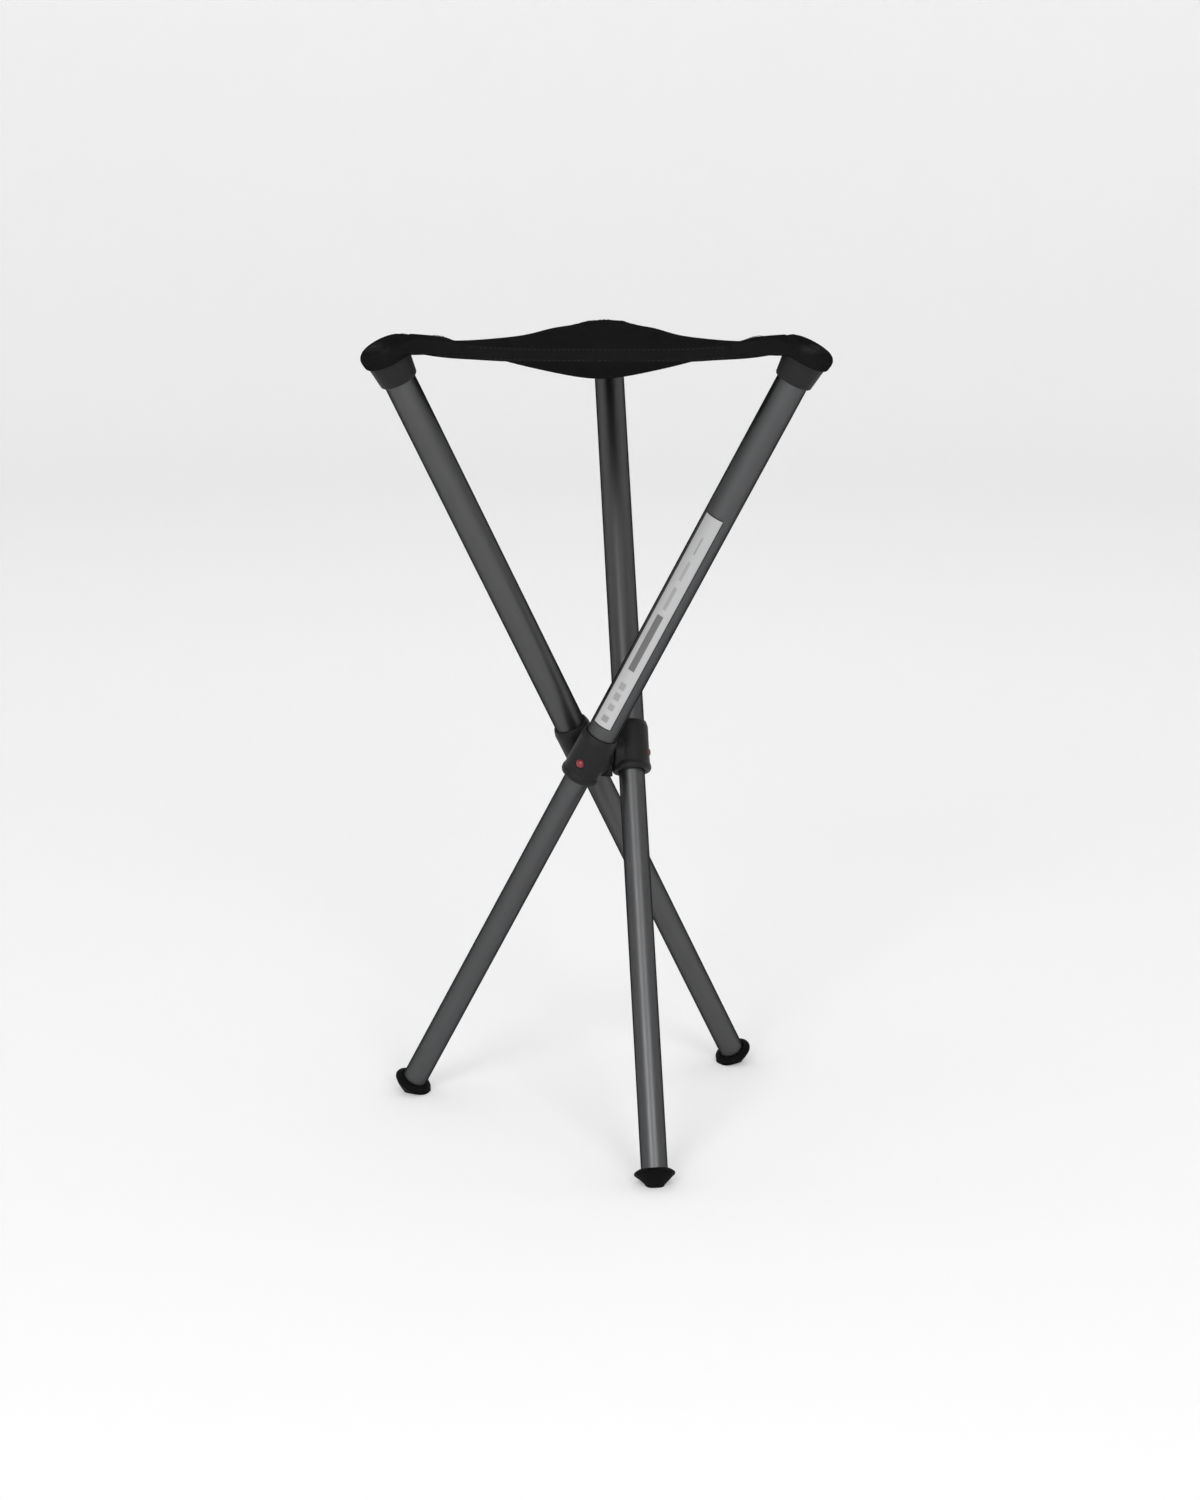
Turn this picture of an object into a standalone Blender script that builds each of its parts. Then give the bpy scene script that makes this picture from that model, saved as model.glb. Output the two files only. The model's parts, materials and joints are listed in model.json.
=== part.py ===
"""Folding three leg stool with telescopic legs and a triangular fabric seat.

Three straight legs cross at a small three-sided hub. Each leg is an upper tube in a plastic
sleeve, with a thinner lower tube that slides up into it. The sleeve turns on a pin that is held
in the hub, about a line from the hub's centre straight out to the leg, so the legs swing from a
wide tripod to a bundle of three parallel tubes. The legs carry a sagging seat on their top caps.

Units are metres, +Z is up and the feet stand on z = 0. Seen from the front, which is -Y, the
seat's corners are at the back, the left and the right, and each leg is named for its corner.
"""

import math

import bmesh
import bpy
from mathutils import Matrix, Vector

MM = 0.001
GAP = 0.3 * MM

# The whole stool. HUB_X and HUB_Y put the origin under the middle of the stool's bounding box.
HUB_X = 0.32 * MM
HUB_Y = -13.226 * MM
HUB_HEIGHT = 283.3 * MM
LEG_TILT = math.radians(28.8)
HUB_TO_LEG = 23.2 * MM
CORNER_AZIMUTH = {"back": 90.0, "left": 210.0, "right": 330.0}

# Leg sizes. Heights "at" are measured up the leg's axis from its pivot.
UPPER_RADIUS = 11.5 * MM
LOWER_RADIUS = 9.75 * MM
TUBE_WALL = 1.2 * MM
UPPER_BOTTOM_AT = -11.0 * MM
UPPER_TOP_AT = 346.9 * MM
LOWER_BOTTOM_AT = -312.5 * MM
LOWER_TOP_AT = 35.0 * MM
SLEEVE_RADIUS = 14.1 * MM
SLEEVE_RING_RADIUS = 14.8 * MM
SLEEVE_BOTTOM_AT = -14.8 * MM
SLEEVE_TOP_AT = 23.7 * MM
CAP_TOP_AT = 350.5 * MM
POCKET_TOP_AT = 353.7 * MM
FOOT_RIM_AT = -313.8 * MM
FOOT_RIM_RADIUS = 14.9 * MM
SOLE_HALF_LENGTH = 10.0 * MM
SOLE_HALF_WIDTH = 7.8 * MM
SOLE_INSET = 7.6 * MM
LABEL_FROM = 32.0 * MM
LABEL_TO = 215.0 * MM
LABEL_HALF_ANGLE = math.radians(34.0)

# Hub and pivots. Distances "out" are measured from the hub's axis towards a leg.
HUB_FACE_OUT = 8.4 * MM
HUB_HALF_HEIGHT = 15.0 * MM
LUG_FACE_OUT = 9.4 * MM
LUG_RADIUS = 14.5 * MM
PIN_RADIUS = 2.8 * MM
PIN_HEAD_RADIUS = 4.6 * MM
PIN_HEAD_FROM = 3.2 * MM
PIN_HEAD_TO = 5.2 * MM
PIN_END_OUT = 12.5 * MM

# Release button, measured out from the leg's axis.
BUTTON_TRAVEL = 1.5 * MM
BUTTON_TOP = 15.1 * MM
BUTTON_RADIUS = 3.0 * MM
BUTTON_STEM_RADIUS = 2.0 * MM
BUTTON_FLANGE_RADIUS = 3.6 * MM
BUTTON_FLANGE_AT = 12.9 * MM
LOCK_HOLE_RADIUS = 3.1 * MM

# Seat.
SEAT_CORNER_RADIUS = 181.0 * MM
SEAT_END_RADIUS = 151.4 * MM
SEAT_CORNER_HEIGHT = 598.3 * MM
EDGE_SAG = 8.9 * MM
EDGE_PULL = 14.0 * MM
BELLY = 22.0 * MM
FABRIC_THICKNESS = 2.0 * MM
WEBBING_HEIGHT = 10.4 * MM
WEBBING_THICKNESS = 2.0 * MM

TUBE_SIDES = 24
SMALL_SIDES = 16


# ---------------------------------------------------------------- scene and materials


def clear_scene():
    for obj in list(bpy.data.objects):
        bpy.data.objects.remove(obj, do_unlink=True)


def new_collection(name):
    collection = bpy.data.collections.new(name)
    bpy.context.scene.collection.children.link(collection)
    return collection


clear_scene()
STOOL = new_collection("three_leg_stool")
CUTTERS = new_collection("cutters")


def make_material(name, colour, roughness, metallic=0.0):
    material = bpy.data.materials.new(name)
    material.use_nodes = True
    shader = material.node_tree.nodes["Principled BSDF"]
    shader.inputs["Base Color"].default_value = (*colour, 1.0)
    shader.inputs["Roughness"].default_value = roughness
    shader.inputs["Metallic"].default_value = metallic
    return material


MATERIALS = {
    "tube": make_material("painted_tube", (0.095, 0.097, 0.1), 0.42, 0.3),
    "plastic": make_material("black_plastic", (0.022, 0.022, 0.023), 0.5),
    "guide": make_material("grey_nylon", (0.2, 0.2, 0.2), 0.5),
    "rubber": make_material("black_rubber", (0.012, 0.012, 0.012), 0.75),
    "fabric": make_material("black_polyester", (0.011, 0.011, 0.012), 0.9),
    "button": make_material("red_plastic", (0.35, 0.03, 0.035), 0.35),
    "steel": make_material("zinc_steel", (0.55, 0.56, 0.58), 0.35, 1.0),
    "label": make_material("silver_label", (0.5, 0.5, 0.51), 0.4, 0.2),
}


# ---------------------------------------------------------------- modelling helpers


def add_object(name, mesh, collection=STOOL):
    obj = bpy.data.objects.new(name, mesh)
    collection.objects.link(obj)
    return obj


def object_from_bmesh(name, bm, collection=STOOL):
    mesh = bpy.data.meshes.new(name)
    bm.to_mesh(mesh)
    bm.free()
    return add_object(name, mesh, collection)


def make_cutter(obj):
    """Keep a helper solid out of the stool: the build leaves out what render and view hide."""
    for collection in list(obj.users_collection):
        collection.objects.unlink(obj)
    CUTTERS.objects.link(obj)
    obj.hide_render = True
    obj.display_type = "WIRE"
    return obj


def turned(name, outline, sides=TUBE_SIDES, closed=False):
    """A turned solid about local Z. The outline is (radius, height) pairs, top of the outside
    first. An outline that starts and ends on the axis stays open, a ring's is closed."""
    bm = bmesh.new()
    points = [bm.verts.new((radius, 0.0, height)) for radius, height in outline]
    for first, second in zip(points, points[1:]):
        bm.edges.new((first, second))
    if closed:
        bm.edges.new((points[-1], points[0]))
    obj = object_from_bmesh(name, bm)
    screw = obj.modifiers.new("turn", "SCREW")
    screw.axis = "Z"
    screw.steps = sides
    screw.render_steps = sides
    screw.use_merge_vertices = True
    screw.merge_threshold = 0.00001
    return obj


def tube(name, radius, wall, bottom, top, sides=TUBE_SIDES):
    outline = [(radius, top), (radius, bottom), (radius - wall, bottom), (radius - wall, top)]
    return turned(name, outline, sides, closed=True)


def rod(name, radius, start, end, sides=SMALL_SIDES, along="Z"):
    """A plain round bar from start to end along local X or Z."""
    bm = bmesh.new()
    middle = Matrix.Translation((0.0, 0.0, (start + end) / 2))
    if along == "X":
        middle = Matrix.Rotation(math.pi / 2, 4, "Y") @ middle
    length = abs(end - start)
    bmesh.ops.create_cone(
        bm, cap_ends=True, segments=sides, radius1=radius, radius2=radius, depth=length, matrix=middle
    )
    return object_from_bmesh(name, bm)


def box(name, low, high):
    bm = bmesh.new()
    bmesh.ops.create_cube(bm, size=1.0)
    middle = (Vector(low) + Vector(high)) / 2
    size = Vector(high) - Vector(low)
    for vert in bm.verts:
        vert.co = Vector(a * b for a, b in zip(vert.co, size)) + middle
    return object_from_bmesh(name, bm)


def boolean(obj, other, operation, frame=None):
    """Cut or join another solid, which is then kept as a hidden helper in the same frame."""
    make_cutter(other)
    other.name = obj.name + "_" + other.name
    if frame is not None:
        other.parent = frame
    modifier = obj.modifiers.new(operation.lower(), "BOOLEAN")
    modifier.operation = operation
    modifier.object = other
    modifier.solver = "EXACT"
    return obj


def finish(obj, material, frame=None, along_x=False):
    """Give a piece its material, its leg's frame, and smooth round sides."""
    obj.data.materials.append(MATERIALS[material])
    if frame is not None:
        obj.parent = frame
    if along_x:
        obj.rotation_euler = (0.0, math.pi / 2, 0.0)
    obj.data.shade_smooth()
    return obj


# ---------------------------------------------------------------- frames


def leg_azimuth(corner):
    """Direction from the hub to the leg's pivot, for a leg whose top reaches its seat corner."""
    lean = CAP_TOP_AT * math.sin(LEG_TILT)
    return math.radians(CORNER_AZIMUTH[corner]) - math.atan2(lean, HUB_TO_LEG)


def add_frame(name, location, rotation):
    empty = bpy.data.objects.new(name, None)
    STOOL.objects.link(empty)
    empty.location = location
    empty.rotation_euler = rotation
    return empty


def leg_frame(corner):
    """Origin at the leg's pivot, local X straight out from the hub, local Z up the leg."""
    azimuth = leg_azimuth(corner)
    out = Vector((math.cos(azimuth), math.sin(azimuth), 0.0))
    location = Vector((HUB_X, HUB_Y, HUB_HEIGHT)) + HUB_TO_LEG * out
    return add_frame("frame_" + corner, location, (-LEG_TILT, 0.0, azimuth))


# ---------------------------------------------------------------- hub


def hub_half(name, bottom, top):
    """One half of the triangular hub. Its flat sides face the three legs, and it holds half of
    each pivot pin's head and half of the clamp screw's bore."""
    corner_radius = HUB_FACE_OUT / math.cos(math.pi / 3)
    bm = bmesh.new()
    bmesh.ops.create_cone(
        bm, cap_ends=True, segments=3, radius1=corner_radius, radius2=corner_radius, depth=top - bottom
    )
    first = max(bm.verts, key=lambda vert: vert.co.x + vert.co.z)
    start = math.atan2(first.co.y, first.co.x)
    turn = leg_azimuth("back") + math.pi / 3 - start
    bmesh.ops.rotate(bm, verts=bm.verts, matrix=Matrix.Rotation(turn, 3, "Z"))
    bmesh.ops.translate(bm, verts=bm.verts, vec=(0.0, 0.0, (bottom + top) / 2))
    upright = [edge for edge in bm.edges if abs(edge.verts[0].co.z - edge.verts[1].co.z) > MM]
    bmesh.ops.bevel(bm, geom=upright, offset=4.5 * MM, segments=4, profile=0.5, affect="EDGES")
    return object_from_bmesh(name, bm)


def cut_pin_seats(half, hub):
    clearance = GAP
    for corner in CORNER_AZIMUTH:
        turn = (0.0, 0.0, leg_azimuth(corner))
        seat = rod("head_seat", PIN_HEAD_RADIUS + clearance, PIN_HEAD_FROM - GAP, PIN_HEAD_TO + GAP,
                   TUBE_SIDES, "X")
        bore = rod("pin_bore", PIN_RADIUS + 0.5 * MM, PIN_HEAD_TO, HUB_FACE_OUT + MM, TUBE_SIDES, "X")
        for cutter in (seat, bore):
            cutter.rotation_euler = turn
            boolean(half, cutter, "DIFFERENCE", hub)


def build_hub():
    hub = add_frame("frame_hub", (HUB_X, HUB_Y, HUB_HEIGHT), (0.0, 0.0, 0.0))
    screw_radius = 2.0 * MM
    head_radius = 3.5 * MM
    head_height = 2.6 * MM
    nut_radius = 3.9 * MM
    nut_height = 3.0 * MM
    recess = 3.2 * MM

    upper = hub_half("hub_upper_half", GAP / 2, HUB_HALF_HEIGHT)
    lower = hub_half("hub_lower_half", -HUB_HALF_HEIGHT, -GAP / 2)
    for half in (upper, lower):
        cut_pin_seats(half, hub)
        bore = rod("screw_bore", screw_radius + GAP, -HUB_HALF_HEIGHT - MM, HUB_HALF_HEIGHT + MM)
        boolean(half, bore, "DIFFERENCE", hub)
        finish(half, "plastic", hub)
    head_pocket = rod("head_pocket", head_radius + 0.4 * MM, HUB_HALF_HEIGHT - recess,
                      HUB_HALF_HEIGHT + MM)
    boolean(upper, head_pocket, "DIFFERENCE", hub)
    nut_pocket = rod("nut_pocket", nut_radius + 0.4 * MM, -HUB_HALF_HEIGHT - MM,
                     -HUB_HALF_HEIGHT + recess, 6)
    boolean(lower, nut_pocket, "DIFFERENCE", hub)

    head_bottom = HUB_HALF_HEIGHT - recess + GAP
    head_top = head_bottom + head_height
    screw_outline = [
        (0.0, head_top),
        (head_radius * 0.7, head_top),
        (head_radius, head_top - 0.8 * MM),
        (head_radius, head_bottom),
        (screw_radius, head_bottom),
        (screw_radius, -HUB_HALF_HEIGHT + 0.2 * MM),
        (0.0, -HUB_HALF_HEIGHT + 0.2 * MM),
    ]
    screw = turned("hub_screw", screw_outline, SMALL_SIDES)
    drive = rod("drive_socket", 1.5 * MM, head_top - 1.4 * MM, head_top + MM, 6)
    boolean(screw, drive, "DIFFERENCE", hub)
    finish(screw, "steel", hub)

    nut_top = -HUB_HALF_HEIGHT + recess - GAP
    nut = rod("hub_nut", nut_radius, nut_top - nut_height + GAP, nut_top, 6)
    thread = rod("thread_bore", screw_radius + GAP, nut_top - 2 * nut_height, nut_top + MM)
    boolean(nut, thread, "DIFFERENCE", hub)
    finish(nut, "steel", hub)


# ---------------------------------------------------------------- leg: upper part


def build_upper_tube(corner, frame):
    obj = tube("upper_tube_" + corner, UPPER_RADIUS, TUBE_WALL, UPPER_BOTTOM_AT, UPPER_TOP_AT)
    pin_hole = rod("pin_hole", PIN_RADIUS + GAP, -UPPER_RADIUS - MM, 0.0, SMALL_SIDES, "X")
    stem_hole = rod("stem_hole", BUTTON_FLANGE_RADIUS + GAP, 0.0, UPPER_RADIUS + MM, SMALL_SIDES, "X")
    boolean(obj, pin_hole, "DIFFERENCE", frame)
    boolean(obj, stem_hole, "DIFFERENCE", frame)
    finish(obj, "tube", frame)


def build_sleeve(corner, frame):
    """The plastic joint sleeve: a barrel on the tube with a round bearing face to the hub."""
    top_chamfer = 3.9 * MM
    ring = 4.0 * MM
    edge = 1.1 * MM
    outline = [
        (0.0, SLEEVE_TOP_AT),
        (UPPER_RADIUS + 0.9 * MM, SLEEVE_TOP_AT),
        (SLEEVE_RADIUS, SLEEVE_TOP_AT - top_chamfer),
        (SLEEVE_RADIUS, SLEEVE_BOTTOM_AT + ring + edge),
        (SLEEVE_RING_RADIUS, SLEEVE_BOTTOM_AT + ring),
        (SLEEVE_RING_RADIUS, SLEEVE_BOTTOM_AT + edge),
        (SLEEVE_RING_RADIUS - edge, SLEEVE_BOTTOM_AT),
        (0.0, SLEEVE_BOTTOM_AT),
    ]
    obj = turned("sleeve_" + corner, outline)
    lug_in = LUG_FACE_OUT - HUB_TO_LEG
    lug = rod("lug", LUG_RADIUS, lug_in - MM, -8.0 * MM, 32, "X")
    boolean(obj, lug, "UNION", frame)
    far = 2 * SLEEVE_RADIUS
    flat = box("flat", (-far, -far, -far), (lug_in, far, far))
    boolean(obj, flat, "DIFFERENCE", frame)
    seat = rod("tube_seat", UPPER_RADIUS + GAP, UPPER_BOTTOM_AT - GAP, SLEEVE_TOP_AT + MM, TUBE_SIDES)
    boolean(obj, seat, "DIFFERENCE", frame)
    mouth = rod("mouth", LOWER_RADIUS + GAP, SLEEVE_BOTTOM_AT - MM, 0.0, TUBE_SIDES)
    boolean(obj, mouth, "DIFFERENCE", frame)
    pin_hole = rod("pin_hole", PIN_RADIUS + GAP, -SLEEVE_RADIUS - MM, 0.0, SMALL_SIDES, "X")
    boolean(obj, pin_hole, "DIFFERENCE", frame)
    seat_top = BUTTON_FLANGE_AT + GAP
    flange_seat = rod("flange_seat", BUTTON_FLANGE_RADIUS + GAP, 0.0, seat_top, SMALL_SIDES, "X")
    boolean(obj, flange_seat, "DIFFERENCE", frame)
    button_hole = rod("button_hole", BUTTON_RADIUS + GAP, 0.0, SLEEVE_RADIUS + MM, SMALL_SIDES, "X")
    boolean(obj, button_hole, "DIFFERENCE", frame)
    finish(obj, "plastic", frame)


def build_pivot(corner, frame):
    """The pin's head turns in the hub, and its shank is fixed in the sleeve and the tube wall."""
    head_from = PIN_HEAD_FROM - HUB_TO_LEG
    head_to = PIN_HEAD_TO - HUB_TO_LEG
    end = PIN_END_OUT - HUB_TO_LEG
    outline = [
        (0.0, end),
        (PIN_RADIUS, end),
        (PIN_RADIUS, head_to),
        (PIN_HEAD_RADIUS, head_to),
        (PIN_HEAD_RADIUS, head_from),
        (0.0, head_from),
    ]
    pin = turned("pivot_pin_" + corner, outline, SMALL_SIDES)
    finish(pin, "steel", frame, along_x=True)
    washer_in = HUB_FACE_OUT + GAP - HUB_TO_LEG
    washer_out = LUG_FACE_OUT - GAP - HUB_TO_LEG
    radius = 8.0 * MM
    washer = tube("pivot_washer_" + corner, radius, radius - PIN_RADIUS - GAP, washer_in, washer_out)
    finish(washer, "guide", frame, along_x=True)


def build_cap(corner, frame):
    """The flared plug on the leg's top end that fills the seat's corner pocket."""
    plug_radius = UPPER_RADIUS - TUBE_WALL - 0.4 * MM
    bore_radius = UPPER_RADIUS + 0.35 * MM
    bore_top = UPPER_TOP_AT + GAP
    outline = [
        (0.0, CAP_TOP_AT),
        (12.0 * MM, CAP_TOP_AT - 0.2 * MM),
        (15.2 * MM, CAP_TOP_AT - 1.5 * MM),
        (16.0 * MM, CAP_TOP_AT - 4.0 * MM),
        (15.8 * MM, CAP_TOP_AT - 7.5 * MM),
        (13.7 * MM, CAP_TOP_AT - 25.2 * MM),
        (13.2 * MM, CAP_TOP_AT - 26.2 * MM),
        (bore_radius, CAP_TOP_AT - 26.2 * MM),
        (bore_radius, bore_top),
        (plug_radius, bore_top),
        (plug_radius, bore_top - 13.0 * MM),
        (plug_radius - MM, bore_top - 14.0 * MM),
        (0.0, bore_top - 14.0 * MM),
    ]
    finish(turned("leg_cap_" + corner, outline), "plastic", frame)


def build_pocket(corner, frame):
    """The seat's sewn corner pocket, drawn over the cap."""
    outline = [
        (0.0, POCKET_TOP_AT),
        (12.0 * MM, POCKET_TOP_AT - 0.2 * MM),
        (16.4 * MM, POCKET_TOP_AT - 1.2 * MM),
        (18.4 * MM, POCKET_TOP_AT - 4.1 * MM),
        (18.1 * MM, POCKET_TOP_AT - 8.5 * MM),
        (16.9 * MM, POCKET_TOP_AT - 12.2 * MM),
        (16.35 * MM, POCKET_TOP_AT - 12.2 * MM),
        (16.5 * MM, POCKET_TOP_AT - 6.9 * MM),
        (15.6 * MM, POCKET_TOP_AT - 4.2 * MM),
        (12.2 * MM, POCKET_TOP_AT - 2.9 * MM),
        (0.0, POCKET_TOP_AT - 2.7 * MM),
    ]
    finish(turned("corner_pocket_" + corner, outline), "fabric", frame)


def build_button(corner, frame):
    """The push button, with a flange that keeps it in the sleeve and a short stem. Pressed
    right in, it still clears the sliding tube. Its axis is the pivot's, on the outer side."""
    flange_top = BUTTON_FLANGE_AT
    flange_bottom = flange_top - 0.4 * MM
    stem_end = LOWER_RADIUS + BUTTON_TRAVEL + 0.15 * MM
    outline = [
        (0.0, BUTTON_TOP),
        (1.6 * MM, BUTTON_TOP - 0.25 * MM),
        (2.6 * MM, BUTTON_TOP - 0.75 * MM),
        (BUTTON_RADIUS, BUTTON_TOP - 1.35 * MM),
        (BUTTON_RADIUS, flange_top),
        (BUTTON_FLANGE_RADIUS, flange_top),
        (BUTTON_FLANGE_RADIUS, flange_bottom),
        (BUTTON_STEM_RADIUS, flange_bottom),
        (BUTTON_STEM_RADIUS, stem_end),
        (0.0, stem_end),
    ]
    obj = turned("release_button_" + corner, outline, SMALL_SIDES)
    finish(obj, "button", frame, along_x=True)


def build_label(corner, frame):
    """A thin sticker that lies round one side of an upper tube."""
    inner = UPPER_RADIUS + GAP
    thickness = 0.2 * MM
    steps = 8
    bm = bmesh.new()
    outline = []
    for step in range(steps + 1):
        angle = LABEL_HALF_ANGLE * (1 - 2 * step / steps)
        outline.append(bm.verts.new((inner * math.cos(angle), inner * math.sin(angle), LABEL_FROM)))
    edges = [bm.edges.new(pair) for pair in zip(outline, outline[1:])]
    swept = bmesh.ops.extrude_edge_only(bm, edges=edges)
    raised = [item for item in swept["geom"] if isinstance(item, bmesh.types.BMVert)]
    bmesh.ops.translate(bm, verts=raised, vec=(0.0, 0.0, LABEL_TO - LABEL_FROM))
    bmesh.ops.recalc_face_normals(bm, faces=bm.faces)
    if bm.faces[0].normal.x < 0:
        bmesh.ops.reverse_faces(bm, faces=bm.faces)
    obj = object_from_bmesh("size_label", bm)
    shell = obj.modifiers.new("thickness", "SOLIDIFY")
    shell.thickness = thickness
    shell.offset = 1.0
    finish(obj, "label", frame)


# ---------------------------------------------------------------- leg: sliding part


def build_lower_tube(corner, frame):
    obj = tube("lower_tube_" + corner, LOWER_RADIUS, TUBE_WALL, LOWER_BOTTOM_AT, LOWER_TOP_AT)
    hole = rod("lock_hole", LOCK_HOLE_RADIUS, 0.0, LOWER_RADIUS + MM, SMALL_SIDES, "X")
    boolean(obj, hole, "DIFFERENCE", frame)
    finish(obj, "tube", frame)


def build_guide(corner, frame):
    """The plug on the lower tube's top end that keeps it straight in the upper tube."""
    ring_radius = LOWER_RADIUS + 0.2 * MM
    stem_radius = LOWER_RADIUS - TUBE_WALL - 0.35 * MM
    bore_radius = 5.0 * MM
    ring_bottom = LOWER_TOP_AT + GAP
    outline = [
        (ring_radius - MM, ring_bottom + 12.0 * MM),
        (ring_radius, ring_bottom + 11.0 * MM),
        (ring_radius, ring_bottom),
        (stem_radius, ring_bottom),
        (stem_radius, ring_bottom - 13.0 * MM),
        (bore_radius, ring_bottom - 13.0 * MM),
        (bore_radius, ring_bottom + 12.0 * MM),
    ]
    finish(turned("tube_guide_" + corner, outline, closed=True), "guide", frame)


def build_snap_spring(corner, frame):
    """A hairpin strip in the lower tube whose pin stands behind the lock hole, drawn with the
    pin pushed in, so that the tube is free to slide."""
    strip_width = 6.0 * MM
    strip_thickness = 0.6 * MM
    out = 5.2 * MM
    back = -7.2 * MM
    bend_at = -22.0 * MM
    bend_radius = 3.0 * MM
    path = [(out, 3.0 * MM), (out, -3.5 * MM)]
    for step in range(7):
        angle = math.pi * step / 6
        path.append((bend_radius * math.cos(angle), bend_at - bend_radius * math.sin(angle)))
    path.append((back, -6.0 * MM))
    bm = bmesh.new()
    points = [bm.verts.new((x, -strip_width / 2, z)) for x, z in path]
    edges = [bm.edges.new(pair) for pair in zip(points, points[1:])]
    swept = bmesh.ops.extrude_edge_only(bm, edges=edges)
    far_side = [item for item in swept["geom"] if isinstance(item, bmesh.types.BMVert)]
    bmesh.ops.translate(bm, verts=far_side, vec=(0.0, strip_width, 0.0))
    obj = object_from_bmesh("snap_spring_" + corner, bm)
    shell = obj.modifiers.new("thickness", "SOLIDIFY")
    shell.thickness = strip_thickness
    shell.offset = 0.0
    shell.use_even_offset = True
    tip = LOWER_RADIUS + GAP - BUTTON_TRAVEL - GAP
    boolean(obj, rod("snap_pin", 2.4 * MM, out - 0.1 * MM, tip, SMALL_SIDES, "X"), "UNION", frame)
    finish(obj, "steel", frame)


def build_foot(corner, frame):
    """A rubber foot with a round rim square to the leg and a level oval sole on the ground,
    pushed into the lower tube's end by its stem."""
    inward = Vector((0.0, math.cos(LEG_TILT), math.sin(LEG_TILT)))
    upward = Vector((0.0, -math.sin(LEG_TILT), math.cos(LEG_TILT)))
    sideways = Vector((1.0, 0.0, 0.0))
    ground = Vector((0.0, 0.0, -HUB_HEIGHT / math.cos(LEG_TILT)))
    sole_centre = ground + SOLE_INSET * inward

    bm = bmesh.new()
    rings = [(11.2 * MM, 3.2 * MM), (14.3 * MM, 1.2 * MM), (FOOT_RIM_RADIUS, 0.0), (14.2 * MM, -1.3 * MM)]
    for step in range(TUBE_SIDES):
        angle = 2 * math.pi * step / TUBE_SIDES
        along, across = math.cos(angle), math.sin(angle)
        for radius, above_rim in rings:
            bm.verts.new((radius * across, radius * along, FOOT_RIM_AT + above_rim))
        for shrink, height in ((0.9 * MM, 0.0), (0.0, 0.9 * MM)):
            reach = (SOLE_HALF_LENGTH - shrink) * along * inward
            spread = (SOLE_HALF_WIDTH - shrink) * across * sideways
            bm.verts.new(sole_centre + reach + spread + height * upward)
    bmesh.ops.convex_hull(bm, input=bm.verts)
    loose = [vert for vert in bm.verts if not vert.link_faces]
    bmesh.ops.delete(bm, geom=loose, context="VERTS")
    obj = object_from_bmesh("foot_" + corner, bm)

    socket_floor = LOWER_BOTTOM_AT - GAP
    stem_radius = LOWER_RADIUS - TUBE_WALL - 0.35 * MM
    socket = rod("socket", LOWER_RADIUS + GAP, socket_floor, FOOT_RIM_AT + 10 * MM, TUBE_SIDES)
    boolean(obj, socket, "DIFFERENCE", frame)
    stem = rod("stem", stem_radius, socket_floor - MM, socket_floor + 18.0 * MM, TUBE_SIDES)
    boolean(obj, stem, "UNION", frame)
    finish(obj, "rubber", frame)


# ---------------------------------------------------------------- seat


def corner_direction(corner):
    azimuth = math.radians(CORNER_AZIMUTH[corner])
    return Vector((math.cos(azimuth), math.sin(azimuth), 0.0))


def seat_point(weights, corner_radius):
    """A point of the seat from its three corner weights, which add up to 1. The edges curve in
    and hang between the corners, and the middle hangs lower, like a shallow upturned pyramid."""
    names = list(CORNER_AZIMUTH)
    point = Vector((HUB_X, HUB_Y, SEAT_CORNER_HEIGHT))
    for name, weight in zip(names, weights):
        point += corner_radius * weight * corner_direction(name)
    for index, name in enumerate(names):
        near, far = weights[index - 2], weights[index - 1]
        across = near + far
        point += EDGE_PULL * 4 * near * far * across * corner_direction(name)
        point.z -= EDGE_SAG * edge_hang(near, far) * across**2
    point.z -= BELLY * belly_share(weights)
    return point


def edge_hang(near, far):
    """How far an edge hangs, as a share of the most: 1 at its middle, and 0 from about a quarter
    of the way to a corner, where the fabric lies on the leg's cap."""
    along = (near - far) / max(near + far, 0.001)
    raw = 1 - 2.75 * along**4
    return (raw + math.sqrt(raw**2 + 0.025)) / 2


def belly_share(weights):
    """1 in the middle and 0 along the edges, between a bubble and a three-sided pyramid."""
    bubble = 27 * weights[0] * weights[1] * weights[2]
    sharpness = 13.0
    total = sum(math.exp(-sharpness * weight) for weight in weights)
    pyramid = max(0.0, -3 * math.log(total) / sharpness) / (1 - 3 * math.log(3) / sharpness)
    return 0.2 * bubble + 0.8 * pyramid**1.6


def trim_corners(bm):
    """Cut the sheet off square where it meets each corner pocket."""
    for corner in CORNER_AZIMUTH:
        direction = corner_direction(corner)
        bmesh.ops.bisect_plane(
            bm,
            geom=list(bm.verts) + list(bm.edges) + list(bm.faces),
            plane_co=Vector((HUB_X, HUB_Y, 0.0)) + SEAT_END_RADIUS * direction,
            plane_no=direction,
            clear_outer=True,
        )


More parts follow.
